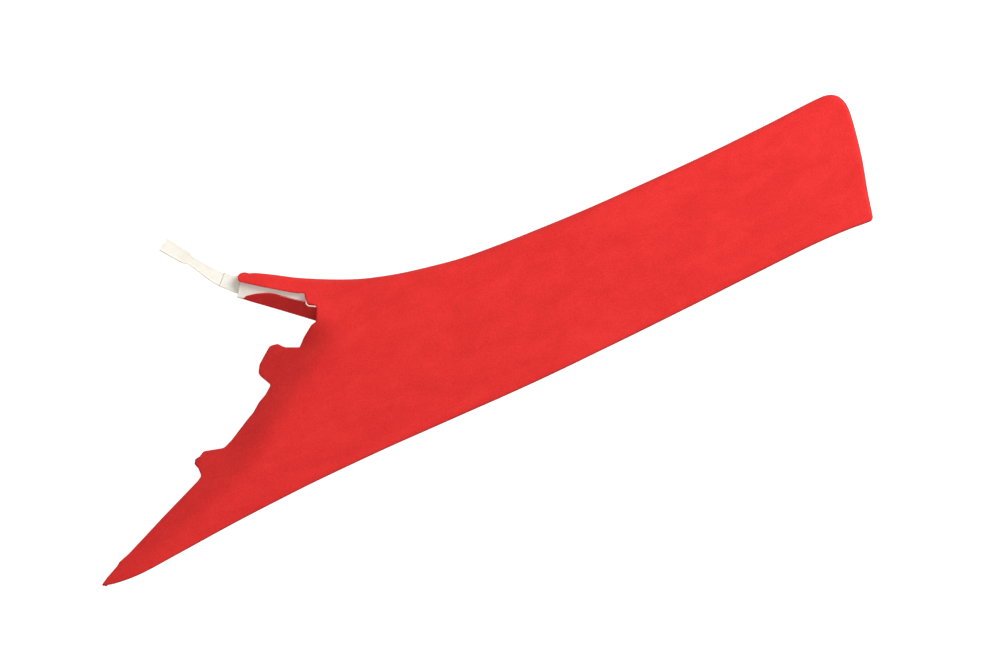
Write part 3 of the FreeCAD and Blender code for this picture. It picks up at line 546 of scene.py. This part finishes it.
# height of the underside
wall_z = zmat(OUT, rim)
y_, x_ = OUT[:, 1], OUT[:, 0]
notch = sstep(12.4, 16.6, y_) * (1 - sstep(91.4, 95.6, y_)) * (x_ > 745)
wall_z = wall_z + notch * (11.9 + (15.5 - 13.0) * (y_ - 14) / 80.0)
LU = (-0.8 * (x_ - 273.4) + 0.6 * (y_ - 154.3))
tipw = sstep(49.0, 53.0, LU) * (x_ < 260) * (y_ > 150)
wall_z = wall_z * (1 - tipw) + 9.7 * tipw
side_z = np.minimum(zt_edge - 4.75, 60)
ZB = W_OPEN * side_z + (1 - W_OPEN) * wall_z
ZB = smooth(ZB, 2)
ZB = np.minimum(ZB, zt_edge - RAD - 1.6)
ZS = zt_edge - RAD * 1.0                       # where the roll meets the side
rb = 1.15
under = []
# side of the wall
for t in (0.0, 0.34, 0.67, 1.0):
    z = ZS * (1 - t) + (ZB + rb) * t
    q = OUT.copy()
    under.append(np.column_stack([q, z]))
# lower roll
p = OUT.copy()
prev = 0.0
for ph in (math.pi / 8, math.pi / 4, 3 * math.pi / 8, math.pi / 2):
    o = rb * (1 - math.cos(ph))
    p, _ = march(p, np.full(N, o - prev), 1, 1)
    prev = o
    under.append(np.column_stack([p, ZB + rb * (1 - math.sin(ph))]))
# across the rim, then up the inner wall (walls) or along the underside (open edges)
rim_w = 4.62
p, rr = march(p, np.full(N, rim_w - 2 * rb), 3, 2)
for i, q in enumerate(rr):
    zo = zmat(q, z_top) - 4.75
    under.append(np.column_stack([q, W_OPEN * zo + (1 - W_OPEN) * ZB]))
hem_h = np.clip(zmat(p, z_top) - 4.9 - ZB - 1.6, 0.8, 9.0)
rng = np.random.default_rng(7)
wob = smooth(rng.normal(0, 1, N), 14)
wob = wob / (np.abs(wob).max() + 1e-9)
hem_h = hem_h * (0.92 + 0.08 * wob)
hem_open = 4.6 + 1.0 * wob
narrow = np.clip((near_line(OUT, [(-2, 1), (14, 3)]) - 4) / 22.0, 0.0, 1.0)
hem_open = hem_open * (0.12 + 0.88 * narrow)
prev = 0.0
base_z = under[-1][:, 2].copy()
for ph in (math.pi / 6, math.pi / 3, math.pi / 2):
    o = rb * math.sin(ph)
    q, _ = march(p, np.full(N, o - prev), 1, 2)
    prev = o
    p = q
    zw = ZB + rb * (1 - math.cos(ph))
    zo = zmat(q, z_top) - 4.75
    under.append(np.column_stack([q, W_OPEN * zo + (1 - W_OPEN) * zw]))
for t in (0.3, 0.65, 1.0):
    q, _ = march(p, W_OPEN * hem_open / 3 + (1 - W_OPEN) * 0.0, 1, 2, keep=1.0)
    p = q
    zw = ZB + rb + (hem_h - rb) * t
    zo = zmat(q, z_top) - 4.75
    under.append(np.column_stack([q, W_OPEN * zo + (1 - W_OPEN) * zw]))


def build_cover():
    verts, faces = [], []
    rings = list(reversed(under)) + top_rings
    for r in rings:
        verts.extend([tuple(v) for v in r])
    for k in range(len(rings) - 1):
        a, b = k * N, (k + 1) * N
        for i in range(N):
            j = (i + 1) % N
            faces.append((a + i, a + j, b + j, b + i))
    start = (len(rings) - 1) * N
    ring = inner_ring[:, :2]
    # inner points on a triangular grid, clear of the ring
    h = 3.4
    gx, gy = [], []
    y = ring[:, 1].min()
    row = 0
    while y < ring[:, 1].max():
        xs = np.arange(ring[:, 0].min() + (h / 2 if row % 2 else 0), ring[:, 0].max(), h)
        gx.append(xs)
        gy.append(np.full(len(xs), y))
        y += h * 0.866
        row += 1
    gp = np.stack([np.concatenate(gx), np.concatenate(gy)], 1)
    # keep what lies inside, at least 1.6 mm from the ring
    inside = np.zeros(len(gp), bool)
    xa, ya = ring[:, 0], ring[:, 1]
    xb, yb = np.roll(xa, -1), np.roll(ya, -1)
    for a1, b1, a2, b2 in zip(xa, ya, xb, yb):
        cond = (b1 > gp[:, 1]) != (b2 > gp[:, 1])
        if cond.any():
            xi = (a2 - a1) * (gp[:, 1] - b1) / (b2 - b1 + 1e-12) + a1
            inside ^= cond & (gp[:, 0] < xi)
    gp = gp[inside]
    dist = np.full(len(gp), 1e9)
    for a1, b1 in zip(xa, ya):
        dist = np.minimum(dist, (gp[:, 0] - a1) ** 2 + (gp[:, 1] - b1) ** 2)
    gp = gp[dist > 1.7 ** 2]
    co2 = [Vector((float(a), float(b))) for a, b in ring] + [Vector((float(a), float(b))) for a, b in gp]
    edges = [(i, (i + 1) % N) for i in range(N)]
    vo, eo, fo, ov, oe, of_ = geometry.delaunay_2d_cdt(co2, edges, [], 1, 1e-7)
    index = {}
    extra = 0
    for k, src in enumerate(ov):
        if src and src[0] < N:
            index[k] = start + src[0]
        else:
            x, y = vo[k]
            index[k] = len(verts)
            verts.append((x, y, float(z_top(x, y))))
            extra += 1
    for f in fo:
        tri = [index[v] for v in f]
        if len(set(tri)) == 3:
            faces.append(tuple(tri))
    print("cover", N, "outline points,", len(verts), "vertices,", len(faces), "faces")
    return verts, faces


def make(name, verts, faces, body, slot, material, smooth_shade=True, mm=True):
    me = bpy.data.meshes.new(name)
    me.from_pydata([M(*v) if mm else v for v in verts], [], faces)
    me.validate(clean_customdata=False)
    bm = bmesh.new()
    bm.from_mesh(me)
    bmesh.ops.remove_doubles(bm, verts=bm.verts, dist=1e-6)
    bmesh.ops.recalc_face_normals(bm, faces=bm.faces)
    bm.to_mesh(me)
    bm.free()
    me.update()
    o = bpy.data.objects.new(name, me)
    bpy.context.scene.collection.objects.link(o)
    me.materials.append(material)
    if smooth_shade:
        for poly in me.polygons:
            poly.use_smooth = True
    return o


def apply_mods(o):
    dg = bpy.context.evaluated_depsgraph_get()
    dg.update()
    me = bpy.data.meshes.new_from_object(o.evaluated_get(dg))
    old = o.data
    o.modifiers.clear()
    o.data = me
    me.name = o.name
    bpy.data.meshes.remove(old)
    return o


def face_up(o, where):
    """Turns the mesh inside out if the face nearest a point looks down."""
    me = o.data
    best = min(me.polygons, key=lambda f: (f.center - Vector(where)).length)
    if best.normal.z < 0:
        me.flip_normals()


cv, cf = build_cover()
cover = make("suede_cover_wrap", cv, cf, "carrier", "suede_red", SUEDE)
face_up(cover, M(470, 50, 36))
# gentle unevenness of glued cloth
me = cover.data
co = np.empty(len(me.vertices) * 3)
me.vertices.foreach_get("co", co)
co = co.reshape(-1, 3)
no = np.empty(len(me.vertices) * 3)
me.vertices.foreach_get("normal", no)
no = no.reshape(-1, 3)
mm_ = co * 1000 - np.array([DX, DY, 0])
wave = (np.sin(mm_[:, 0] / 17.0 + 1.3 * np.sin(mm_[:, 1] / 23.0)) * np.sin(mm_[:, 1] / 14.0 + 0.7 * np.sin(mm_[:, 0] / 31.0)))
near = np.exp(-np.clip(near_line(mm_[:, :2], np.vstack([OUT, OUT[:1]])[::4]), 0, 99) / 6.0)
amp = 0.035 + 0.05 * near
co = co + no * (wave * amp / 1000.0)[:, None]
me.vertices.foreach_set("co", co.ravel())
me.update()
sol = cover.modifiers.new("thick", "SOLIDIFY")
sol.thickness = 0.00098
sol.offset = -1.0
sol.use_even_offset = False
sol.use_rim = True
apply_mods(cover)
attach(cover, "carrier")
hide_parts("suede_cover")

# ---------------------------------------------------------------- leg: channel and lower flange
SF = [(225.4, 190.6), (226.2, 188.9), (240.0, 177.6), (256.7, 165.6), (263.0, 161.2), (273.8, 155.4), (280.0, 151.5)]
SH = [(217.4, 178.6), (222.9, 174.9), (226.3, 174.9), (238.5, 171.2), (246.1, 167.4), (255.0, 160.6), (262.0, 154.8), (271.5, 147.2), (281.5, 139.0)]
SK = [(222.3, 173.9), (227.2, 169.2), (236.5, 160.8), (244.3, 153.7), (252.8, 145.9), (271.2, 128.9), (279.5, 121.0)]


def along(points, n):
    p = np.array(spline(points, 1.0))
    s = np.concatenate([[0], np.cumsum(np.linalg.norm(np.diff(p, axis=0), axis=1))])
    t = np.linspace(0, s[-1], n)
    return np.stack([np.interp(t, s, p[:, 0]), np.interp(t, s, p[:, 1])], 1)


def grid_piece(name, rows, material, thickness, body, slot, up_at):
    """A closed sheet of the given thickness below a grid of rows of points."""
    n, m = len(rows), len(rows[0])
    verts = [tuple(p) for r in rows for p in r]
    faces = [(i * m + j, (i + 1) * m + j, (i + 1) * m + j + 1, i * m + j + 1) for i in range(n - 1) for j in range(m - 1)]
    o = make(name, verts, faces, body, slot, material)
    face_up(o, M(*up_at))
    s = o.modifiers.new("thick", "SOLIDIFY")
    s.thickness = thickness / 1000.0
    s.offset = -1.0
    s.use_rim = True
    apply_mods(o)
    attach(o, body)
    return o


LEG = [(-10.0, 0.5, -7.0, -21.5), (5.0, -0.3, -6.5, -19.7), (20.0, -1.3, -6.0, -18.3), (37.0, -1.5, -7.4, -16.8), (51.0, -1.2, -12.6, -15.6), (58.0, -0.9, -13.4, -15.0)]


def leg(u, v):
    return 273.4 - 0.8 * u + 0.6 * v, 154.3 + 0.6 * u + 0.8 * v


def leg_uv(points):
    """A line beside the leg as v over u."""
    q = np.array(spline(points, 1.0)) - np.array([273.4, 154.3])
    u, v = -0.8 * q[:, 0] + 0.6 * q[:, 1], 0.6 * q[:, 0] + 0.8 * q[:, 1]
    o = np.argsort(u)
    return lambda at: np.interp(at, u[o], v[o])


F_OF, H_OF, K_OF = leg_uv(SF), leg_uv(SH), leg_uv(SK)
LU_ = [r[0] for r in LEG]
LZF = [float(z_face(*leg(r[0], r[1]))) for r in LEG]


def leg_zf(u):
    return float(np.interp(u, LU_, LZF))


def flange_z(u, v):
    """Height of the carrier's lower flange."""
    h, k = np.interp(u, LU_, [r[2] for r in LEG]), np.interp(u, LU_, [r[3] for r in LEG])
    zh = leg_zf(u) - 5.0
    return float(zh - 0.95 * (h - v))


n_leg, m_web = 84, 16
rows = []
for u in np.linspace(58.2, -9.0, n_leg):
    row = []
    vf, vh = float(F_OF(u)) + 0.5, float(H_OF(u)) - 0.5
    zf = leg_zf(u)
    lip = max(0.0, (u - 55.2) / 3.0)
    for j in range(m_web + 1):
        t = j / m_web
        x, y = leg(u, vf * (1 - t) + vh * t)
        # scooped across its width, and lifted into a small lip at the free end
        z = zf - 2.25 - 1.15 * t - 0.75 * math.sin(math.pi * t) ** 0.9 + 0.55 * lip * lip * math.sin(math.pi * t)
        row.append((x, y, z))
    rows.append(row)
# the channel takes the paler beige copy, which is painted light in the strip's shadow
channel = grid_piece("leg_channel", rows, BEIGE_PAINTED_LIGHT, 0.4, "carrier", "carrier_beige", (245, 169, 14))

rows = []
for u in np.linspace(53.0, -15.0, n_leg):
    vh, vk = float(H_OF(u)), float(K_OF(u))
    w = max(0.05, vh - vk)
    row = []
    m = 16
    up = 2.05 * min(1.0, 0.45 + w / 5.0)
    for j in range(m + 1):
        t = j / m
        v = vh * (1 - t) + vk * t
        z = flange_z(u, v) + up - 0.30 * (1 - min(1, t * 8)) ** 2 + 0.25 * math.sin(math.pi * t)
        row.append((*leg(u, v), z))
    # the cloth turns under the lower edge
    z0 = row[-1][2]
    k = min(1.0, w / 5.0)
    for q, dz in ((0.30, -0.45), (0.42, -1.1), (0.25, -1.8), (-0.6, -2.5), (-1.6, -2.6)):
        row.append((*leg(u, vk - q * k), max(1.55, z0 + dz * k)))
    rows.append(row)
# the lower flange cloth takes the darker suede copy, which is painted shade on its slope
flange = grid_piece("leg_flange_cloth", rows, SUEDE_PAINTED_SHADE, 0.9, "carrier", "suede_red", (255, 150, 12))
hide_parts("leg_flange_wrap")


def tube(name, pts, r, material, sides=8):
    """Thin round-edged strand along points, closed at both ends."""
    q = np.array(pts, float)
    c = np.array(spline([(a, b) for a, b, z in pts], 0.35))
    s_ = np.concatenate([[0], np.cumsum(np.linalg.norm(np.diff(c, axis=0), axis=1))])
    sk = np.concatenate([[0], np.cumsum(np.linalg.norm(np.diff(q[:, :2], axis=0), axis=1))])
    zz = np.interp(s_, sk * s_[-1] / sk[-1], q[:, 2])
    t = np.gradient(c, axis=0)
    t /= np.linalg.norm(t, axis=1)[:, None]
    verts, faces = [], []
    n = len(c)
    for i in range(n):
        e = min(i, n - 1 - i)
        rr = r * min(1.0, math.sqrt((e + 0.25) / 2.0)) * (1 + 0.12 * math.sin(i * 1.7) + 0.08 * math.sin(i * 0.6))
        for j in range(sides):
            a_ = 2 * math.pi * j / sides
            verts.append((c[i, 0] - t[i, 1] * rr * math.cos(a_), c[i, 1] + t[i, 0] * rr * math.cos(a_), zz[i] + rr * math.sin(a_)))
    for i in range(n - 1):
        for j in range(sides):
            faces.append((i * sides + j, i * sides + (j + 1) % sides, (i + 1) * sides + (j + 1) % sides, (i + 1) * sides + j))
    faces.append(tuple(reversed(range(sides))))
    faces.append(tuple((n - 1) * sides + j for j in range(sides)))
    return make(name, verts, faces, None, None, material)


# pale raw edge of the cover where it is slit at the root of the leg
cut_pts = [(274.6, 152.6), (272.9, 149.0), (271.2, 145.4), (271.9, 142.9), (274.8, 140.9), (278.0, 138.9)]
cut = tube("cover_cut_edge", [(x, y, float(z_top(x, y)) - 1.15) for x, y in cut_pts], 0.55, BACKING)
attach(cut, "carrier")

# ---------------------------------------------------------------- soft trim on the underside


def closed_outline(points, step):
    """Even points round a closed outline whose corners are rounded: (x, y, radius)."""
    n = len(points)
    out = []
    for i in range(n):
        x, y, r = points[i]
        b = np.array([x, y], float)
        a, c = np.array(points[i - 1][:2], float), np.array(points[(i + 1) % n][:2], float)
        u, w = a - b, c - b
        lu, lw = np.linalg.norm(u), np.linalg.norm(w)
        u, w = u / lu, w / lw
        half = math.acos(max(-1, min(1, float(u @ w)))) / 2
        if half > 1.55:
            out.append(b)
            continue
        tl = min(r / math.tan(half), 0.45 * lu, 0.45 * lw)
        q0, q1 = b + u * tl, b + w * tl
        for t in np.linspace(0, 1, 7):
            out.append((1 - t) ** 2 * q0 + 2 * t * (1 - t) * b + t * t * q1)
    q = resample(out, lambda x, y: np.full(len(x), step))
    area2 = np.sum(q[:, 0] * np.roll(q[:, 1], -1) - np.roll(q[:, 0], -1) * q[:, 1])
    return q if area2 > 0 else q[::-1].copy()


def slab(name, outline, top, bottom, edge, material, body, slot, step=1.2, h=2.4, rough=0.08, seed=3):
    """Soft slab between two height functions, with rounded edges and a slightly uneven surface."""
    q = closed_outline(outline, step)
    n = len(q)
    rings = []
    for ph in (0.0, math.pi / 6, math.pi / 3, math.pi / 2):
        rings.append((edge * (1 - math.sin(ph)), edge * (1 - math.cos(ph)), "b"))
    rings += [(0.0, None, "m")]
    for ph in (math.pi / 2, math.pi / 3, math.pi / 6, 0.0):
        rings.append((edge * (1 - math.sin(ph)), edge * (1 - math.cos(ph)), "t"))
    nrm = normals(q)
    rng_ = np.random.default_rng(seed)
    verts, faces = [], []
    for inset, lift, kind in rings:
        p_ = q + nrm * inset
        zt_, zb_ = top(p_[:, 0], p_[:, 1]), bottom(p_[:, 0], p_[:, 1])
        z = (zt_ + zb_) / 2 if kind == "m" else (zb_ + lift if kind == "b" else zt_ - lift)
        for (x, y), zz_ in zip(p_, z):
            verts.append((x, y, float(zz_)))
    k = len(rings)
    for r in range(k - 1):
        for i in range(n):
            j = (i + 1) % n
            faces.append((r * n + i, r * n + j, (r + 1) * n + j, (r + 1) * n + i))
    for r, fn in ((0, bottom), (k - 1, top)):
        ring = np.array([v[:2] for v in verts[r * n:(r + 1) * n]])
        gp = []
        y = ring[:, 1].min()
        row_ = 0
        while y < ring[:, 1].max():
            for x in np.arange(ring[:, 0].min() + (h / 2 if row_ % 2 else 0), ring[:, 0].max(), h):
                gp.append((x, y))
            y += h * 0.866
            row_ += 1
        gp = np.array(gp)
        inside = np.zeros(len(gp), bool)
        for (a1, b1), (a2, b2) in zip(ring, np.roll(ring, -1, 0)):
            cond = (b1 > gp[:, 1]) != (b2 > gp[:, 1])
            xi = (a2 - a1) * (gp[:, 1] - b1) / (b2 - b1 + 1e-12) + a1
            inside ^= cond & (gp[:, 0] < xi)
        gp = gp[inside]
        if len(gp):
            gp = gp[near_line(gp, np.vstack([ring, ring[:1]])) > h * 0.4]
        co2 = [Vector((float(a), float(b))) for a, b in ring] + [Vector((float(a), float(b))) for a, b in gp]
        vo, eo, fo, ov, oe, of_ = geometry.delaunay_2d_cdt(co2, [(i, (i + 1) % n) for i in range(n)], [], 1, 1e-7)
        index = {}
        for m_, src in enumerate(ov):
            if src and src[0] < n:
                index[m_] = r * n + src[0]
            else:
                index[m_] = len(verts)
                x, y = vo[m_]
                verts.append((x, y, float(fn(np.array([x]), np.array([y]))[0])))
        for f in fo:
            tri = [index[v] for v in f]
            if len(set(tri)) == 3:
                faces.append(tuple(reversed(tri)) if r == 0 else tuple(tri))
    v = np.array(verts)
    wob_ = rng_.normal(0, 1, len(v)) * rough * 0.5
    v[:, 2] += np.where(v[:, 2] > np.median(v[:, 2]), -np.abs(wob_), np.abs(wob_))
    o = make(name, [tuple(a) for a in v], faces, body, slot, material)
    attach(o, body)
    return o


def below(t):
    return lambda x, y: z_off(x, y, -T_WALL - t)


def flat(z):
    return lambda x, y: np.full(len(x), z)


foam = slab("foam_block_cut", [(112, 3, 4), (172, 6, 4), (172, 27, 4), (146, 22, 6), (112, 11, 3)], below(0.15), below(10.0), 0.9, FOAM, "carrier", "foam_grey", rough=0.3, seed=11)
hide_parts("foam_block")
strip_felt = slab("felt_strip_cut", [(70, 10.5, 2), (96, 19.5, 9), (146, 41.5, 9), (186, 67.0, 2), (181, 74.0, 2), (140, 50.5, 9), (92, 28.5, 9), (67, 18.0, 2)],
                  below(0.12), below(1.55), 0.45, FELTM, "carrier", "felt_black", rough=0.14, seed=12)
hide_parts("felt_strip_flange")
PADS = {"felt_pad_tip": ([(26, -3.4), (62, -3.1), (62, 0.0), (26, -0.2)], (0.036, 0.0032)),
        "felt_pad_end_low": ([(708, -3.4), (742, -6.2), (742, -3.2), (708, -0.4)], (0.034, 0.003)),
        "felt_pad_end_high": ([(710, 109.0), (744, 110.0), (744, 106.9), (710, 105.9)], (0.034, 0.0031)),
        "felt_pad_leg": ([leg(14.0, 11.6), leg(42.0, 9.6), leg(42.0, 6.9), leg(14.0, 8.9)], (0.028, 0.0027))}
for i_, (pad_name, (pts_, size_)) in enumerate(PADS.items()):
    o_ = slab(pad_name + "_cut", [(a, b, 0.7) for a, b in pts_], flat(1.47), flat(0.0), 0.3, FELTM, "carrier", "felt_black", step=0.7, h=1.2, rough=0.10, seed=20 + i_)
    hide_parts(pad_name)


def seal_ring(name, cx_, cy_, zb, body, node_name, seed):
    """Closed-cell foam washer with a slightly barrelled, cut edge."""
    rng_ = np.random.default_rng(seed)
    z0, z1 = zb - 3.4, zb - 1.4
    prof = [(4.35, z0 + 0.25), (4.33, z0 + 1.0), (4.35, z1 - 0.25), (4.6, z1 - 0.02)]
    prof += [(r, z1) for r in (5.4, 6.2, 7.0)] + [(7.5, z1 - 0.04), (7.85, z1 - 0.3), (7.97, z1 - 0.7), (8.0, (z0 + z1) / 2), (7.97, z0 + 0.7), (7.85, z0 + 0.3), (7.5, z0 + 0.04)]
    prof += [(r, z0) for r in (7.0, 6.2, 5.4)] + [(4.6, z0 + 0.02)]
    n, c = 72, len(prof)
    verts, faces = [], []
    for i in range(n):
        a_ = 2 * math.pi * i / n
        for r, z in prof:
            j_ = rng_.normal(0, 0.035)
            r_ = min(7.98, r + j_ * (1 if 4.6 < r < 7.95 else 0.3))
            verts.append((cx_ + r_ * math.cos(a_), cy_ + r_ * math.sin(a_), min(z1, max(z0, z + (j_ if 4.7 < r < 7.4 else 0)))))
    for i in range(n):
        for j in range(c):
            faces.append((i * c + j, ((i + 1) % n) * c + j, ((i + 1) % n) * c + (j + 1) % c, i * c + (j + 1) % c))
    o = make(name, verts, faces, body, "seal_rubber", SEAL)
    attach(o, body)
    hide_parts(node_name)
    return o


for which, (cx_, cy_, zb_) in {"upper": (706, 48, 15.6), "middle": (462, 50, 19.0), "lower": (216, 38, 18.2)}.items():
    seal_ring("seal_ring_" + which, cx_, cy_, zb_, "clip_" + which, "seal_" + which, 30 + len(which))

# ---------------------------------------------------------------- tether


def strip_run(pts):
    """Even stations along (x, y, half width, top height)."""
    p = np.array(pts, float)
    xyz = np.array(spline([(a, b) for a, b, c, d in pts], 0.6))
    s = np.concatenate([[0], np.cumsum(np.linalg.norm(np.diff(xyz, axis=0), axis=1))])
    sk = [float(s[np.argmin(np.linalg.norm(xyz - q[:2], axis=1))]) for q in p]
    hw = np.interp(s, sk, p[:, 2])
    zz = np.interp(s, sk, p[:, 3])
    zz = np.convolve(np.pad(zz, 4, "edge"), np.ones(9) / 9, "valid")
    hw = np.convolve(np.pad(hw, 1, "edge"), np.ones(3) / 3, "valid")
    t = np.gradient(xyz, axis=0)
    t /= np.linalg.norm(t, axis=1)[:, None]
    return xyz, hw, zz, t


def strip(name, run, lo, hi, join, thickness=1.25, m=12):
    """Moulded flat strip over stations lo to hi of a run, with raised rims and rounded sides."""
    xyz, hw, zz, t = [v[lo:hi] for v in run]
    nx, ny = -t[:, 1], t[:, 0]
    loop = []
    prof = []
    for j in range(m + 1):
        v = -1 + 2 * j / m
        rimh = 0.22 * math.exp(-((abs(v) - 0.88) / 0.10) ** 2)
        prof.append((v, rimh))
    h = thickness
    sect = [(v * 1.0, z) for v, z in prof]
    sect = [(-1.0, -0.30)] + [(v * 0.97, z) for v, z in prof] + [(1.0, -0.30), (1.0, -h + 0.3)] + [(v * 0.97, -h) for v, z in reversed(prof)] + [(-1.0, -h + 0.3)]
    verts, faces = [], []
    c = len(sect)
    n = len(xyz)
    for i in range(n):
        for v, z in sect:
            verts.append((xyz[i, 0] + nx[i] * v * hw[i], xyz[i, 1] + ny[i] * v * hw[i], zz[i] + z))
    for i in range(n - 1):
        for j in range(c):
            faces.append((i * c + j, i * c + (j + 1) % c, (i + 1) * c + (j + 1) % c, (i + 1) * c + j))
    caps = []
    for ring, step, flip in ((0, 1, False), (n - 1, -1, True)):
        # an end that meets the other strip is closed by a cap set back inside it
        inner = ring * c
        if (ring == 0 and join in ("start",)) or (ring > 0 and join in ("end",)):
            base = len(verts)
            mid = np.mean([verts[ring * c + j] for j in range(c)], axis=0)
            back = np.array([*(t[ring] * step * 0.5), 0.0])
            for j in range(c):
                v_ = np.array(verts[ring * c + j])
                verts.append(tuple(mid + (v_ - mid) * 0.93 + back))
            for j in range(c):
                f = (ring * c + j, ring * c + (j + 1) % c, base + (j + 1) % c, base + j)
                caps.append(len(faces))
                faces.append(tuple(reversed(f)) if not flip else f)
            inner = base
        caps.append(len(faces))
        f = tuple(inner + j for j in range(c))
        faces.append(f if not flip else tuple(reversed(f)))
    o = make(name, verts, faces, None, None, NYLON)
    for poly in o.data.polygons:
        if poly.index in caps:
            poly.use_smooth = False
    return o


TT = TETHER_TOP
root_pts = [(*leg(42.0, -2.1), 3.6, TT), (*leg(50.0, -2.2), 3.9, TT), (*leg(54.5, -2.0), 5.6, TT), (223.9, 186.6, 7.6, TT), (222.4, 188.1, 7.75, TT),
            (217.9, 192.6, 7.3, TT - 0.5), (212.4, 198.0, 6.7, TT - 1.2)]
end_pts = [(212.4, 198.0, 6.7, TT - 1.2), (207.9, 203.9, 6.2, TT - 1.7), (202.6, 212.2, 5.3, TT - 2.4), (198.2, 219.6, 4.6, TT - 3.1), (194.9, 224.8, 4.2, TT - 3.6),
           (194.1, 226.1, 4.5, TT - 3.75), (193.0, 228.0, 5.9, TT - 3.9), (189.5, 233.3, 6.3, TT - 4.4), (184.4, 241.1, 6.7, TT - 5.0), (179.6, 248.7, 7.0, TT - 5.55), (179.3, 249.2, 6.7, TT - 5.6)]
run = strip_run(root_pts + end_pts[1:])
k_cut = int(np.argmin(np.linalg.norm(run[0] - np.array([212.4, 198.0]), axis=1)))
t_root = strip("tether_root", run, 0, k_cut + 1, "end")
t_end = strip("tether_end", run, k_cut, len(run[0]), "start")


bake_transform(t_root)
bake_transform(t_end)
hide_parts("tether_anchor")
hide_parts("tether_link", "tether_paddle")

# ---------------------------------------------------------------- materials of the CAD nodes
SLOTS = {"carrier_shell": BEIGE, "upper_impact_ribs": RIB, "lower_impact_ribs": RIB,
         "clip_tower_upper": TOWER, "clip_tower_middle": TOWER, "clip_tower_lower": TOWER, "locator_pin": TOWER, "locator_blade": TOWER,
         "clip_upper": CLIP, "clip_middle": CLIP, "clip_lower": CLIP, "seal_upper": SEAL, "seal_middle": SEAL, "seal_lower": SEAL,
         "foam_block": FOAM, "felt_strip_flange": FELTM, "felt_pad_tip": FELTM, "felt_pad_leg": FELTM,
         "felt_pad_end_low": FELTM, "felt_pad_end_high": FELTM, "tether_rivet": RIVET}
for name, m in SLOTS.items():
    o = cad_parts.get(name)
    if o is None:
        continue
    if not o.material_slots:
        o.data.materials.append(m)
    for s in o.material_slots:
        s.material = m
